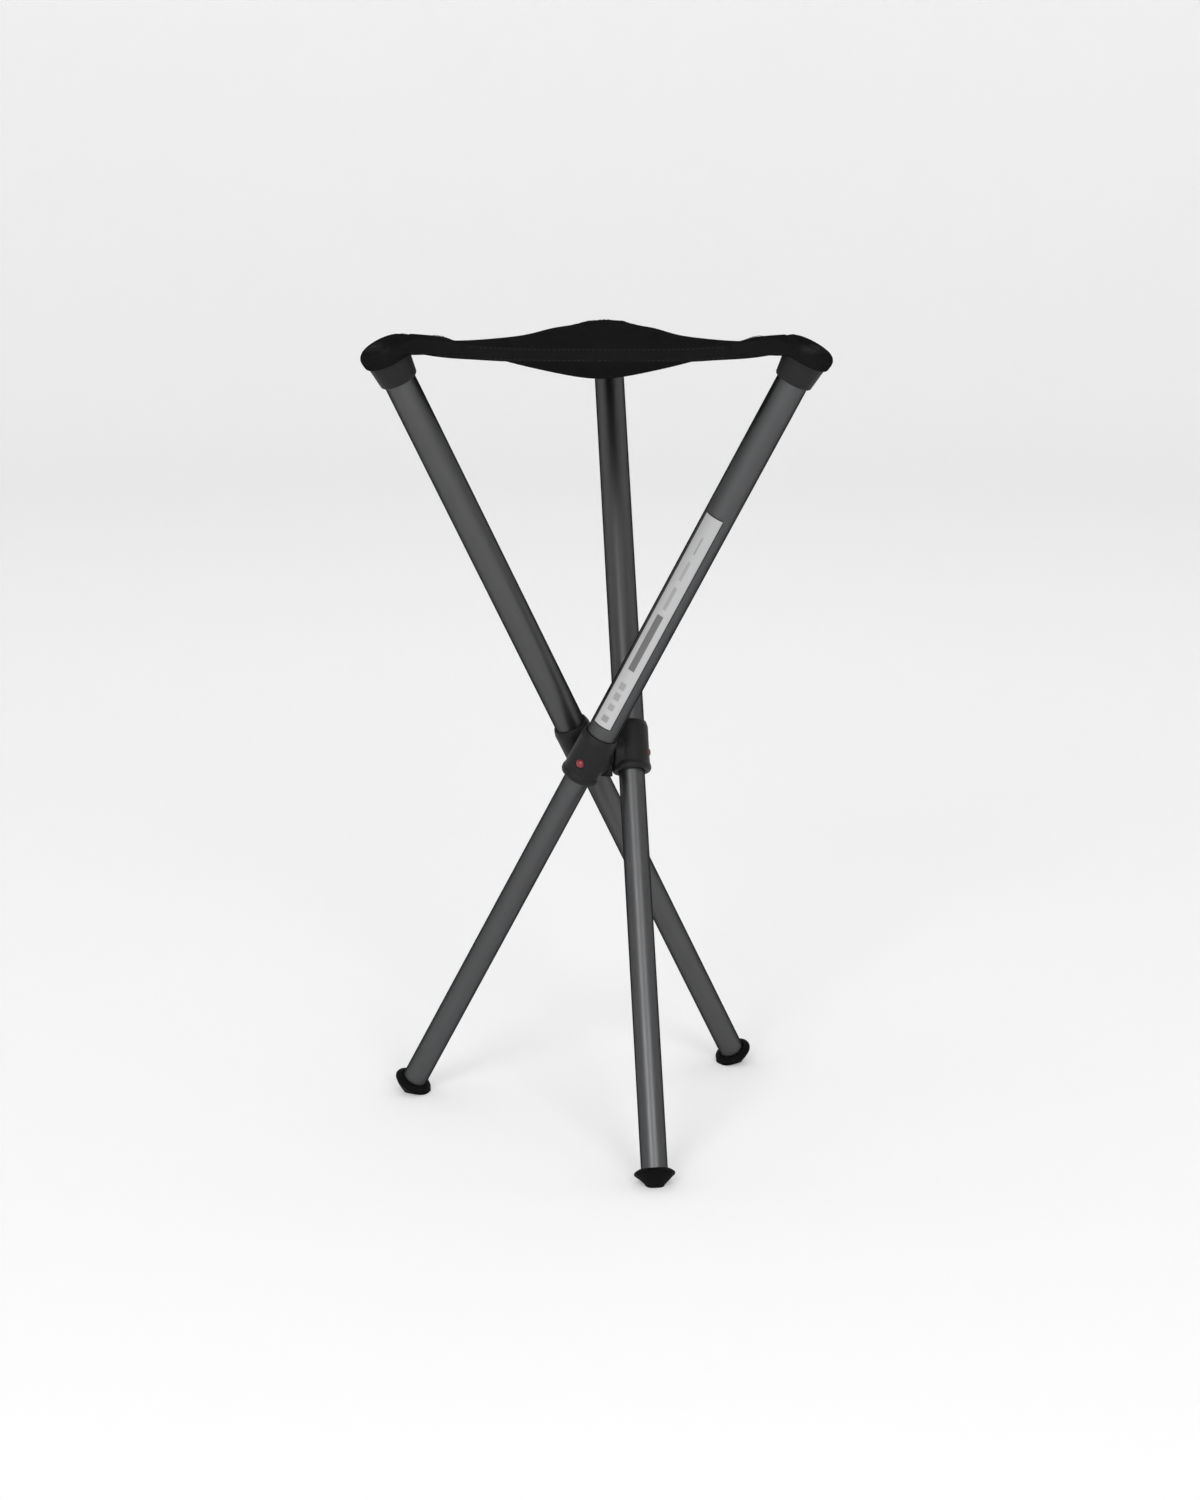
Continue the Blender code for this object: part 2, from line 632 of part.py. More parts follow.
def build_seat_panel():
    divisions = 10
    corner_radius = SEAT_CORNER_RADIUS - 2 * (WEBBING_THICKNESS / 2 + 1.0 * MM)
    bm = bmesh.new()
    rows = []
    for row in range(divisions + 1):
        line = []
        for column in range(row + 1):
            weights = (1 - row / divisions, (row - column) / divisions, column / divisions)
            line.append(bm.verts.new(seat_point(weights, corner_radius)))
        rows.append(line)
    for above, below in zip(rows, rows[1:]):
        for column, top in enumerate(above):
            bm.faces.new((top, below[column], below[column + 1]))
            if column + 1 < len(above):
                bm.faces.new((top, below[column + 1], above[column + 1]))
    trim_corners(bm)
    obj = object_from_bmesh("seat_panel", bm)
    shell = obj.modifiers.new("thickness", "SOLIDIFY")
    shell.thickness = FABRIC_THICKNESS
    shell.offset = 0.0
    finish(obj, "fabric")


def build_webbing(name, first, second):
    """The folded and stitched edge of the seat between two corners, standing on edge."""
    steps = 14
    lift = 0.5 * MM
    bm = bmesh.new()
    points = []
    for step in range(steps + 1):
        weights = [0.0, 0.0, 0.0]
        weights[first] = 1 - step / steps
        weights[second] = step / steps
        point = seat_point(weights, SEAT_CORNER_RADIUS)
        points.append(bm.verts.new(point + Vector((0.0, 0.0, lift))))
    edges = [bm.edges.new(pair) for pair in zip(points, points[1:])]
    swept = bmesh.ops.extrude_edge_only(bm, edges=edges)
    lower = [item for item in swept["geom"] if isinstance(item, bmesh.types.BMVert)]
    bmesh.ops.translate(bm, verts=lower, vec=(0.0, 0.0, -WEBBING_HEIGHT))
    trim_corners(bm)
    obj = object_from_bmesh(name, bm)
    shell = obj.modifiers.new("thickness", "SOLIDIFY")
    shell.thickness = WEBBING_THICKNESS
    shell.offset = 0.0
    finish(obj, "fabric")


def build_seat():
    build_seat_panel()
    build_webbing("seat_webbing_front", 1, 2)
    build_webbing("seat_webbing_right", 2, 0)
    build_webbing("seat_webbing_left", 0, 1)


# ---------------------------------------------------------------- the stool

build_hub()
for leg in CORNER_AZIMUTH:
    leg_origin = leg_frame(leg)
    build_upper_tube(leg, leg_origin)
    build_sleeve(leg, leg_origin)
    build_pivot(leg, leg_origin)
    build_cap(leg, leg_origin)
    build_pocket(leg, leg_origin)
    build_button(leg, leg_origin)
    build_lower_tube(leg, leg_origin)
    build_guide(leg, leg_origin)
    build_snap_spring(leg, leg_origin)
    build_foot(leg, leg_origin)
    if leg == "right":
        build_label(leg, leg_origin)
build_seat()
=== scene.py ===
import json
import math

import bmesh
import bpy
import numpy as np
from mathutils import Matrix, Vector


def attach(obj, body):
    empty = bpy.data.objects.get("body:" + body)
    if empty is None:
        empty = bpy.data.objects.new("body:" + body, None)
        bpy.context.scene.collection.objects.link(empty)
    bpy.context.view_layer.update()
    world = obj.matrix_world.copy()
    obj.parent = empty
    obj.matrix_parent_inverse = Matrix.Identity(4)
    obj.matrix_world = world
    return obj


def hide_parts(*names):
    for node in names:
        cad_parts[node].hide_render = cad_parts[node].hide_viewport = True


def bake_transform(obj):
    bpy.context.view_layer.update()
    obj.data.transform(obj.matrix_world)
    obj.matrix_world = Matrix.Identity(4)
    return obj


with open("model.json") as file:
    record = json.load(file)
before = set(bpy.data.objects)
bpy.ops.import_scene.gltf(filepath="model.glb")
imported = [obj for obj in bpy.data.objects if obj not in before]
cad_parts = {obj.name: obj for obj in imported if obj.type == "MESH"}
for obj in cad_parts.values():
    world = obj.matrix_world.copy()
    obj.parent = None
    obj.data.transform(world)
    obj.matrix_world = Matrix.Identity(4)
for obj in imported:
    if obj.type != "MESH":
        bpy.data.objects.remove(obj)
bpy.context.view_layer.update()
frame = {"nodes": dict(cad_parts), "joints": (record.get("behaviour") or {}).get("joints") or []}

# ------------------------------------------------------------------ sizes, as in part.py

MM = 0.001
JOINTS = {joint["name"]: joint for joint in frame["joints"]}
NODES = frame["nodes"]
CORNERS = {"back": 90.0, "left": 210.0, "right": 330.0}
HUB = Vector(JOINTS["leg_fold_back"]["pos_m"])
HUB_TO_LEG = 23.2 * MM

UPPER_RADIUS = 11.5 * MM
LOWER_RADIUS = 9.75 * MM
TUBE_WALL = 1.2 * MM
LEAN = math.radians(28.8)
GROUND_AT = -HUB.z / math.cos(LEAN)

SEAT_CORNER_RADIUS = 181.0 * MM
SEAT_CORNER_HEIGHT = 598.3 * MM
EDGE_SAG = 8.9 * MM
EDGE_PULL = 14.0 * MM
BELLY = 22.0 * MM
BACK_LIFT = 3.0 * MM
BACK_DROP = 3.0 * MM
HEM_THICKNESS = 2.2 * MM
HEM_TOP = 0.7 * MM
CLOTH_THICKNESS = 1.3 * MM

ROUND = 96


def leg_matrix(corner):
    """Leg frame: origin at the pivot, X out from the hub, Z up the leg."""
    out = Vector(JOINTS["leg_fold_" + corner]["axis"]).normalized()
    along = Vector(JOINTS["leg_slide_" + corner]["axis"]).normalized()
    side = along.cross(out).normalized()
    origin = HUB + HUB_TO_LEG * out
    turn = Matrix((out, side, along)).transposed().to_4x4()
    return Matrix.Translation(origin) @ turn


def corner_matrix(corner):
    """Corner frame: origin on the hub's axis at ground level, X out to the seat's corner."""
    return Matrix.Translation((HUB.x, HUB.y, 0)) @ Matrix.Rotation(math.radians(CORNERS[corner]), 4, "Z")


# ------------------------------------------------------------------ material nodes


class Nodes:
    """A small helper that adds nodes to a new material and links them."""

    def __init__(self, name):
        self.material = bpy.data.materials.new(name)
        self.material.use_nodes = True
        self.tree = self.material.node_tree
        self.shader = self.tree.nodes["Principled BSDF"]

    def add(self, kind, inputs=None, **settings):
        node = self.tree.nodes.new(kind)
        for key, value in settings.items():
            setattr(node, key, value)
        for key, value in (inputs or {}).items():
            if isinstance(value, bpy.types.NodeSocket):
                self.tree.links.new(value, node.inputs[key])
            else:
                node.inputs[key].default_value = value
        return node

    def coords(self, kind="Object"):
        return self.add("ShaderNodeTexCoord").outputs[kind]

    def scaled(self, vector, scale):
        return self.add("ShaderNodeMapping", {"Vector": vector, "Scale": scale}).outputs["Vector"]

    def noise(self, vector, scale, detail=3.0, roughness=0.5):
        node = self.add(
            "ShaderNodeTexNoise", {"Vector": vector, "Scale": scale, "Detail": detail, "Roughness": roughness}
        )
        return node.outputs["Fac"]

    def math(self, operation, first, second=0.0, third=0.0):
        node = self.add("ShaderNodeMath", {0: first, 1: second, 2: third}, operation=operation)
        return node.outputs[0]

    def times(self, first, second):
        return self.math("MULTIPLY", first, second)

    def span(self, value, low, high, out_low=0.0, out_high=1.0):
        node = self.add(
            "ShaderNodeMapRange",
            {"Value": value, "From Min": low, "From Max": high, "To Min": out_low, "To Max": out_high},
        )
        return node.outputs["Result"]

    def mix(self, factor, first, second):
        node = self.add("ShaderNodeMix", {0: factor}, data_type="RGBA")
        for index, value in ((6, first), (7, second)):
            if isinstance(value, bpy.types.NodeSocket):
                self.tree.links.new(value, node.inputs[index])
            else:
                node.inputs[index].default_value = (*value, 1.0)
        return node.outputs[2]

    def blend(self, factor, first, second):
        """Mix two numbers."""
        node = self.add("ShaderNodeMix", {0: factor, 2: first, 3: second}, data_type="FLOAT")
        return node.outputs[0]

    def bump(self, height, distance, strength=1.0, normal=None):
        inputs = {"Height": height, "Distance": distance, "Strength": strength}
        if normal is not None:
            inputs["Normal"] = normal
        return self.add("ShaderNodeBump", inputs).outputs["Normal"]

    def set(self, **sockets):
        for key, value in sockets.items():
            socket = self.shader.inputs[key.replace("_", " ")]
            if isinstance(value, bpy.types.NodeSocket):
                self.tree.links.new(value, socket)
            else:
                socket.default_value = value
        return self.material


def coated_metal():
    """Satin dark grey coating on drawn tube: fine orange peel, faint long draw marks, dust."""
    n = Nodes("satin_grey_coating")
    place = n.coords()
    peel = n.noise(place, 900.0, 2.0)
    cloud = n.noise(place, 22.0, 4.0, 0.6)
    marks = n.noise(n.scaled(place, (1.0, 1.0, 0.02)), 1400.0, 3.0, 0.6)
    specks = n.span(n.noise(place, 520.0, 2.0, 0.7), 0.70, 0.76)
    base = n.mix(cloud, (0.088, 0.0885, 0.0905), (0.104, 0.1045, 0.107))
    base = n.mix(n.times(specks, 0.3), base, (0.15, 0.15, 0.153))
    rough = n.math("ADD", n.span(cloud, 0.3, 0.7, 0.34, 0.40), n.times(marks, 0.05))
    height = n.math("ADD", n.times(peel, 0.6), n.times(marks, 0.4))
    return n.set(
        Base_Color=base,
        Roughness=rough,
        Metallic=1.0,
        Specular_Tint=(0.15, 0.15, 0.15, 1.0),
        Normal=n.bump(height, 0.00006, 0.5),
    )


def moulded_plastic(name, dark, light, rough, grain=0.00006):
    """Spark-eroded black nylon: fine grain, faint flow clouds and rubbed spots."""
    n = Nodes(name)
    place = n.coords()
    fine = n.noise(place, 2600.0, 2.0, 0.6)
    cloud = n.noise(place, 60.0, 4.0, 0.6)
    rubbed = n.span(n.noise(place, 170.0, 3.0, 0.7), 0.62, 0.78)
    base = n.mix(cloud, dark, light)
    even = n.span(cloud, 0.3, 0.7, rough, rough + 0.08)
    roughness = n.math("SUBTRACT", even, n.times(rubbed, 0.1))
    return n.set(
        Base_Color=base, Roughness=roughness, Normal=n.bump(fine, grain, 0.6), Specular_IOR_Level=0.2
    )


def rubber():
    n = Nodes("foot_rubber")
    place = n.coords()
    dust = n.span(n.noise(place, 90.0, 5.0, 0.65), 0.45, 0.75)
    pores = n.noise(place, 1500.0, 3.0, 0.7)
    base = n.mix(n.times(dust, 0.5), (0.0038, 0.0038, 0.0040), (0.0090, 0.0088, 0.0086))
    return n.set(
        Base_Color=base,
        Roughness=n.span(dust, 0.0, 1.0, 0.62, 0.8),
        Normal=n.bump(pores, 0.0001, 0.5),
        Specular_IOR_Level=0.05,
    )


def woven(name, coordinate, pitch, dark, light, rough=0.86, slack=0.00012, slope_highlight=False):
    """Plain weave of black polyester yarn. The coordinate is in metres, pitch from yarn to yarn.
    The last flag adds a painted highlight: a paler patch on the slope that faces away from the seat."""
    n = Nodes(name)
    place = n.coords(coordinate)
    repeat = 1.0 / pitch
    split = n.add("ShaderNodeSeparateXYZ", {"Vector": n.scaled(place, (repeat, repeat, repeat))})
    across, along, up = (split.outputs[axis] for axis in "XYZ")
    if coordinate == "Object":
        across = n.math("ADD", across, n.times(up, 0.7))
        along = n.math("ADD", along, n.times(up, 0.7))
    waves = [
        n.math("ABSOLUTE", n.math("SINE", n.times(value, math.pi))) for value in (across, along)
    ]
    checker_at = n.add("ShaderNodeCombineXYZ", {"X": across, "Y": along})
    checker = n.add("ShaderNodeTexChecker", {"Vector": checker_at.outputs[0], "Scale": 1.0})
    over = checker.outputs["Fac"]
    height = n.blend(over, waves[0], waves[1])
    cloud = n.noise(place, 28.0, 5.0, 0.6)
    fuzz = n.noise(place, 1800.0, 3.0, 0.7)
    # Painted shade: the colour darkens where the yarn dips between crossings; the cloud and fuzz terms add
    # random tone.
    shade = n.times(n.span(height, 0.0, 1.0, 0.35, 1.0), n.span(cloud, 0.3, 0.7, 0.75, 1.1))
    shade = n.times(shade, n.span(fuzz, 0.3, 0.7, 0.85, 1.1))
    base = n.mix(shade, dark, light)
    # Painted highlight: the outer top slope of the pocket's nose is mixed towards a paler grey, in patches.
    if slope_highlight:
        reach = n.add("ShaderNodeSeparateXYZ", {"Vector": place}).outputs
        slope = n.times(n.span(reach["X"], 0.170, 0.179), n.span(reach["Z"], 0.5865, 0.5905))
        patchy = n.times(slope, n.span(n.noise(place, 160.0, 3.0, 0.6), 0.38, 0.58))
        base = n.mix(n.times(patchy, 0.75), base, (0.040, 0.040, 0.041))
    ripple = n.noise(place, 70.0, 3.0, 0.5)
    normal = n.bump(ripple, 0.0008, 0.25)
    normal = n.bump(n.math("ADD", height, n.times(fuzz, 0.4)), slack, 0.6, normal)
    return n.set(
        Base_Color=base,
        Roughness=n.span(fuzz, 0.3, 0.7, rough, rough + 0.08),
        Normal=normal,
        Specular_IOR_Level=0.0,
    )


def thread():
    n = Nodes("sewing_thread")
    place = n.coords("UV")
    twist = n.add(
        "ShaderNodeTexWave", {"Vector": place, "Scale": 6.0, "Distortion": 0.5}, bands_direction="DIAGONAL"
    )
    # Painted shade: the colour darkens in the grooves of the twist, the same bands that drive the bump.
    base = n.mix(twist.outputs["Fac"], (0.006, 0.006, 0.0065), (0.018, 0.018, 0.019))
    normal = n.bump(twist.outputs["Fac"], 0.00005, 0.6)
    return n.set(Base_Color=base, Roughness=0.65, Specular_IOR_Level=0.2, Normal=normal)


def red_plastic():
    n = Nodes("red_button_plastic")
    place = n.coords()
    cloud = n.noise(place, 400.0, 3.0)
    base = n.mix(cloud, (0.16, 0.010, 0.014), (0.23, 0.016, 0.021))
    return n.set(
        Base_Color=base,
        Roughness=n.span(cloud, 0.3, 0.7, 0.24, 0.34),
        Normal=n.bump(n.noise(place, 1500.0, 2.0), 0.00002, 0.5),
        Subsurface_Weight=0.08,
        Coat_Weight=0.3,
    )


def plated_steel():
    n = Nodes("zinc_plated_steel")
    place = n.coords()
    cloud = n.noise(place, 150.0, 4.0, 0.6)
    scratches = n.noise(n.scaled(place, (1.0, 8.0, 1.0)), 900.0, 3.0, 0.7)
    base = n.mix(cloud, (0.42, 0.42, 0.43), (0.60, 0.61, 0.62))
    return n.set(
        Base_Color=base,
        Metallic=1.0,
        Roughness=n.span(scratches, 0.3, 0.7, 0.28, 0.42),
        Normal=n.bump(scratches, 0.00003, 0.4),
    )


def nylon():
    n = Nodes("grey_nylon")
    place = n.coords()
    cloud = n.noise(place, 120.0, 4.0, 0.6)
    base = n.mix(cloud, (0.17, 0.17, 0.168), (0.24, 0.24, 0.236))
    return n.set(
        Base_Color=base,
        Roughness=n.span(cloud, 0.3, 0.7, 0.45, 0.55),
        Normal=n.bump(n.noise(place, 2200.0, 2.0), 0.00004, 0.5),
    )


LABEL_WIDTH = 16.6 * MM
LABEL_LENGTH = 182.0 * MM


def label_film():
    """Silver film with a thin dark outline and plain bars in place of print. UV is in metres."""
    n = Nodes("label_film")
    split = n.add("ShaderNodeSeparateXYZ", {"Vector": n.coords("UV")})
    across, along = split.outputs["X"], split.outputs["Y"]

    def inside(low_x, high_x, low_y, high_y, soft=0.15 * MM):
        """1 inside a rectangle with slightly soft sides, and 0 outside."""
        sides = []
        for value, low, high in ((across, low_x, high_x), (along, low_y, high_y)):
            sides.append(n.span(value, low - soft, low + soft))
            sides.append(n.span(value, high + soft, high - soft))
        result = sides[0]
        for side in sides[1:]:
            result = n.times(result, side)
        return result

    half = LABEL_WIDTH / 2
    edge = 0.9 * MM
    panel = inside(-half + edge, half - edge, edge, LABEL_LENGTH - edge)
    brushed = n.noise(n.scaled(n.coords("UV"), (1.0, 0.03, 1.0)), 4000.0, 3.0, 0.6)
    silver = n.mix(brushed, (0.40, 0.40, 0.405), (0.54, 0.54, 0.545))
    # The silver is mixed towards a darker grey along the label, by 38 % at its upper end.
    darker_upwards = n.span(along, 0.0, LABEL_LENGTH, 1.0, 0.62)
    silver = n.mix(darker_upwards, (0.30, 0.30, 0.305), silver)
    bars = [
        (-2.6, 2.6, 5.0, 10.0, 0.45),
        (-2.4, 2.4, 15.0, 20.0, 0.35),
        (-2.4, 2.4, 24.0, 30.0, 0.35),
        (-2.4, 2.4, 33.0, 39.0, 0.35),
        (-2.8, 2.4, 50.0, 98.0, 0.75),
        (-1.4, 1.4, 103.0, 122.0, 0.3),
        (-1.2, 1.2, 128.0, 144.0, 0.25),
        (-0.6, 0.6, 150.0, 164.0, 0.4),
    ]
    colour = silver
    for low_x, high_x, low_y, high_y, strength in bars:
        bar = inside(low_x * MM, high_x * MM, low_y * MM, high_y * MM, 0.3 * MM)
        colour = n.mix(n.times(bar, strength), colour, (0.03, 0.03, 0.031))
    colour = n.mix(panel, (0.012, 0.012, 0.012), colour)
    return n.set(
        Base_Color=colour,
        Roughness=n.span(brushed, 0.3, 0.7, 0.36, 0.46),
        Metallic=0.25,
        Normal=n.bump(brushed, 0.00002, 0.3),
    )


def floor_paint():
    n = Nodes("studio_floor")
    cloud = n.noise(n.coords(), 1.4, 3.0)
    base = n.mix(cloud, (0.885, 0.885, 0.885), (0.90, 0.90, 0.90))
    return n.set(
        Base_Color=base,
        Roughness=0.9,
        Specular_IOR_Level=0.1,
        Emission_Color=(1.0, 1.0, 1.0, 1.0),
        Emission_Strength=0.17,
    )


TUBE = coated_metal()
SLEEVE = moulded_plastic("sleeve_nylon", (0.0075, 0.0075, 0.0078), (0.0125, 0.0125, 0.0129), 0.46)
COLLAR = moulded_plastic("collar_plastic", (0.0080, 0.0080, 0.0083), (0.0130, 0.0130, 0.0134), 0.5)
HUB_PLASTIC = moulded_plastic("hub_plastic", (0.0060, 0.0060, 0.0062), (0.0095, 0.0095, 0.0098), 0.5)
RUBBER = rubber()
YARN_DARK, YARN_LIGHT = (0.0028, 0.0028, 0.0030), (0.0125, 0.0125, 0.0131)
CLOTH = woven("seat_weave", "UV", 0.62 * MM, (0.0032, 0.0032, 0.0034), (0.0150, 0.0150, 0.0157))
HEM = woven("hem_weave", "UV", 0.8 * MM, YARN_DARK, YARN_LIGHT, 0.8)
POCKET = woven("pocket_weave", "Object", 0.62 * MM, YARN_DARK, YARN_LIGHT, 0.7, slope_highlight=True)
THREAD = thread()
RED = red_plastic()
STEEL = plated_steel()
NYLON = nylon()
LABEL = label_film()
FLOOR = floor_paint()


# ------------------------------------------------------------------ mesh helpers


def make_mesh(name, points, faces, uvs=None):
    mesh = bpy.data.meshes.new(name)
    mesh.from_pydata([tuple(p) for p in points], [], faces)
    if uvs is not None:
        layer = mesh.uv_layers.new(name="UVMap")
        for loop in mesh.loops:
            layer.data[loop.index].uv = uvs[loop.vertex_index]
    mesh.update()
    return mesh


def finished(bm, name):
    """The bmesh as mesh data, its normals facing out. The bmesh is freed."""
    bmesh.ops.recalc_face_normals(bm, faces=bm.faces)
    mesh = bpy.data.meshes.new(name)
    bm.to_mesh(mesh)
    bm.free()
    return mesh


def add_object(name, mesh, material=None, smooth=True):
    obj = bpy.data.objects.new(name, mesh)
    bpy.context.scene.collection.objects.link(obj)
    if material is not None and not mesh.materials:
        mesh.materials.append(material)
    if smooth:
        mesh.shade_smooth()
    return obj


def sharpen(mesh, degrees=32.0):
    """Smooth shading except across sharp edges."""
    bm = bmesh.new()
    bm.from_mesh(mesh)
    limit = math.radians(degrees)
    for edge in bm.edges:
        if len(edge.link_faces) == 2:
            edge.smooth = edge.calc_face_angle(0.0) < limit
    for face in bm.faces:
        face.smooth = True
    bm.to_mesh(mesh)
    bm.free()
    return mesh


def rounded(outline, radius, steps=4, closed=False):
    """Replace each corner of a 2D outline by a short arc-like curve."""
    points = [Vector(p) for p in outline]
    count = len(points)
    result = []
    for index, point in enumerate(points):
        if not closed and index in (0, count - 1):
            result.append(point)
            continue
        before, after = points[index - 1], points[(index + 1) % count]
        reach = min(radius, 0.45 * (before - point).length, 0.45 * (after - point).length)
        start = point + (before - point).normalized() * reach
        end = point + (after - point).normalized() * reach
        for step in range(steps + 1):
            t = step / steps
            result.append((1 - t) ** 2 * start + 2 * t * (1 - t) * point + t**2 * end)
    return result


def bridge(bm, first, second):
    """Faces between two rings. A ring of one vertex is a pole."""
    count = max(len(first), len(second))
    for step in range(count):
        after = (step + 1) % count
        if len(first) == 1:
            bm.faces.new((first[0], second[after], second[step]))
        elif len(second) == 1:
            bm.faces.new((first[step], first[after], second[0]))
        else:
            bm.faces.new((first[step], first[after], second[after], second[step]))


def lathe(name, outline, segments=ROUND, closed=False):
    """Turn an outline of (radius, height) about Z. Points on the axis become poles."""
    bm = bmesh.new()
    rings = []
    for radius, height in outline:
        if radius < 1e-7:
            rings.append([bm.verts.new((0.0, 0.0, height))])
            continue
        ring = []
        for step in range(segments):
            angle = 2 * math.pi * step / segments
            ring.append(bm.verts.new((radius * math.cos(angle), radius * math.sin(angle), height)))
        rings.append(ring)
    pairs = list(zip(rings, rings[1:]))
    if closed:
        pairs.append((rings[-1], rings[0]))
    for first, second in pairs:
        bridge(bm, first, second)
    return sharpen(finished(bm, name))


def mm(points):
    return [(a * MM, b * MM) for a, b in points]


def turn_x(mesh):
    """Lay a lathe mesh down so that its axis runs along X."""
    mesh.transform(Matrix.Rotation(math.pi / 2, 4, "Y"))
    return mesh


def evaluated(obj, name):
    """The mesh of an object with its modifiers, as new data. The object is removed."""
    bpy.context.view_layer.update()
    graph = bpy.context.evaluated_depsgraph_get()
    mesh = bpy.data.meshes.new_from_object(obj.evaluated_get(graph))
    mesh.name = name
    bpy.data.objects.remove(obj)
    return mesh


def combine(base, others, operation="DIFFERENCE"):
    for other in others:
        modifier = base.modifiers.new("cut", "BOOLEAN")
        modifier.operation = operation
        modifier.object = other
        modifier.solver = "EXACT"


def remeshed(base, helpers, voxel, smooth, ratio, name):
    """Voxel remesh, soften and thin out a solid made of booleans, then drop its helpers."""
    remesh = base.modifiers.new("remesh", "REMESH")
    remesh.mode = "VOXEL"
    remesh.voxel_size = voxel
    soften = base.modifiers.new("soften", "SMOOTH")
    soften.factor = 0.5
    soften.iterations = smooth
    if ratio < 1:
        thin = base.modifiers.new("thin", "DECIMATE")
        thin.ratio = ratio
    mesh = evaluated(base, name)
    for helper in helpers:
        bpy.data.objects.remove(helper)
    mesh.shade_smooth()
    return mesh


def place(name, mesh, material, matrix, body, slot, *nodes):
    """Show a mesh in a leg's or corner's frame, riding on a body in place of CAD nodes."""
    obj = add_object(name, mesh, material, smooth=False)
    obj.matrix_world = matrix
    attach(obj, body)
    if nodes:
        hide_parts(*nodes)
    return obj


# ------------------------------------------------------------------ leg pieces


def tube_mesh(name, radius, bottom, top, drilled=False):
    """A tube with eased ends. A drilled one has the button's hole, in the part that its sleeve hides."""
    inner = radius - TUBE_WALL
    edge = 0.3 * MM
    hidden = 8.0 * MM
    outline = [
        (radius, bottom + edge), (radius - edge, bottom), (inner + edge, bottom), (inner, bottom + edge),
        (inner, hidden), (inner, top - edge), (inner + edge, top), (radius - edge, top),
        (radius, top - edge), (radius, hidden),
    ]
    mesh = lathe(name, outline, closed=True)
    if not drilled:
        return mesh
    base = add_object(name, mesh, None, False)
    hole = cylinder("button_hole", 3.85 * MM, 5.0 * MM, 20.0 * MM, 48)
    turn_x(hole.data)
    combine(base, [hole])
    mesh = evaluated(base, name)
    bpy.data.objects.remove(hole)
    return sharpen(mesh)


def cylinder(name, radius, start, end, segments=ROUND):
    outline = [(0.0, start), (radius, start), (radius, end), (0.0, end)]
    return add_object(name, lathe(name, outline, segments), None, False)


def sleeve_mesh():
    """The joint sleeve: waisted barrel, ring at the bottom, bearing lug, and button well."""
    barrel = mm([
        (0, 23.7), (12.3, 23.7), (12.9, 23.3), (13.9, 19.9), (14.1, 18.8), (14.0, 8.0), (14.0, -4.0),
        (14.15, -9.2), (14.75, -10.4), (14.9, -11.8), (14.75, -13.4), (13.9, -14.8), (0, -14.8),
    ])
    base = add_object("sleeve_base", lathe("sleeve_base", barrel), None, False)
    lug_outline = mm([(0, -6.0), (14.2, -6.0), (14.5, -6.6), (14.5, -12.6), (13.5, -13.8), (0, -13.8)])
    lug = add_object("lug", turn_x(lathe("lug", lug_outline)), None, False)
    combine(base, [lug], "UNION")
    far = 0.04
    bpy.ops.mesh.primitive_cube_add(size=1.0, location=(-13.8 * MM - far / 2, 0, 0))
    flat = bpy.context.object
    flat.scale = (far, 2 * far, 2 * far)
    well_outline = mm([(0, 0), (3.3, 0), (3.3, 13.0), (4.3, 14.3), (5.0, 15.5), (0, 15.5)])
    well = add_object("well", turn_x(lathe("well", well_outline, 48)), None, False)
    cutters = [
        flat,
        cylinder("tube_seat", UPPER_RADIUS + 0.25 * MM, -11.3 * MM, 30 * MM),
        cylinder("mouth", LOWER_RADIUS + 0.35 * MM, -20 * MM, 0.0),
        cylinder("pin_hole", 3.2 * MM, -20 * MM, -5 * MM, 48),
        well,
    ]
    turn_x(cutters[3].data)
    combine(base, cutters)
    return remeshed(base, [lug, *cutters], 0.36 * MM, 5, 0.30, "joint_sleeve")


def button_mesh():
    outline = mm([
        (0, 15.1), (0.8, 15.06), (1.6, 14.9), (2.2, 14.65), (2.65, 14.3), (2.92, 13.85), (3.0, 13.4),
        (3.0, 12.9), (3.5, 12.9), (3.6, 12.8), (3.6, 12.6), (3.5, 12.5), (2.0, 12.5), (2.0, 11.5), (0, 11.4),
    ])
    return turn_x(lathe("release_button", outline, 48))


def collar_mesh():
    """The flared leg cap, with a rolled lower lip and a plug inside the tube."""
    outline = rounded(
        mm([
            (0, 348.8), (8.5, 348.6), (12.6, 347.9), (14.9, 346.4), (15.9, 343.8), (15.75, 341.5),
            (15.2, 337.0), (14.5, 331.5), (13.95, 327.0), (13.75, 325.2), (13.0, 324.2), (11.8, 324.3),
            (11.8, 347.1), (9.95, 347.1), (9.95, 334.0), (8.5, 333.0), (0, 333.0),
        ]),
        0.5 * MM,
        3,
    )
    return lathe("leg_collar", outline)


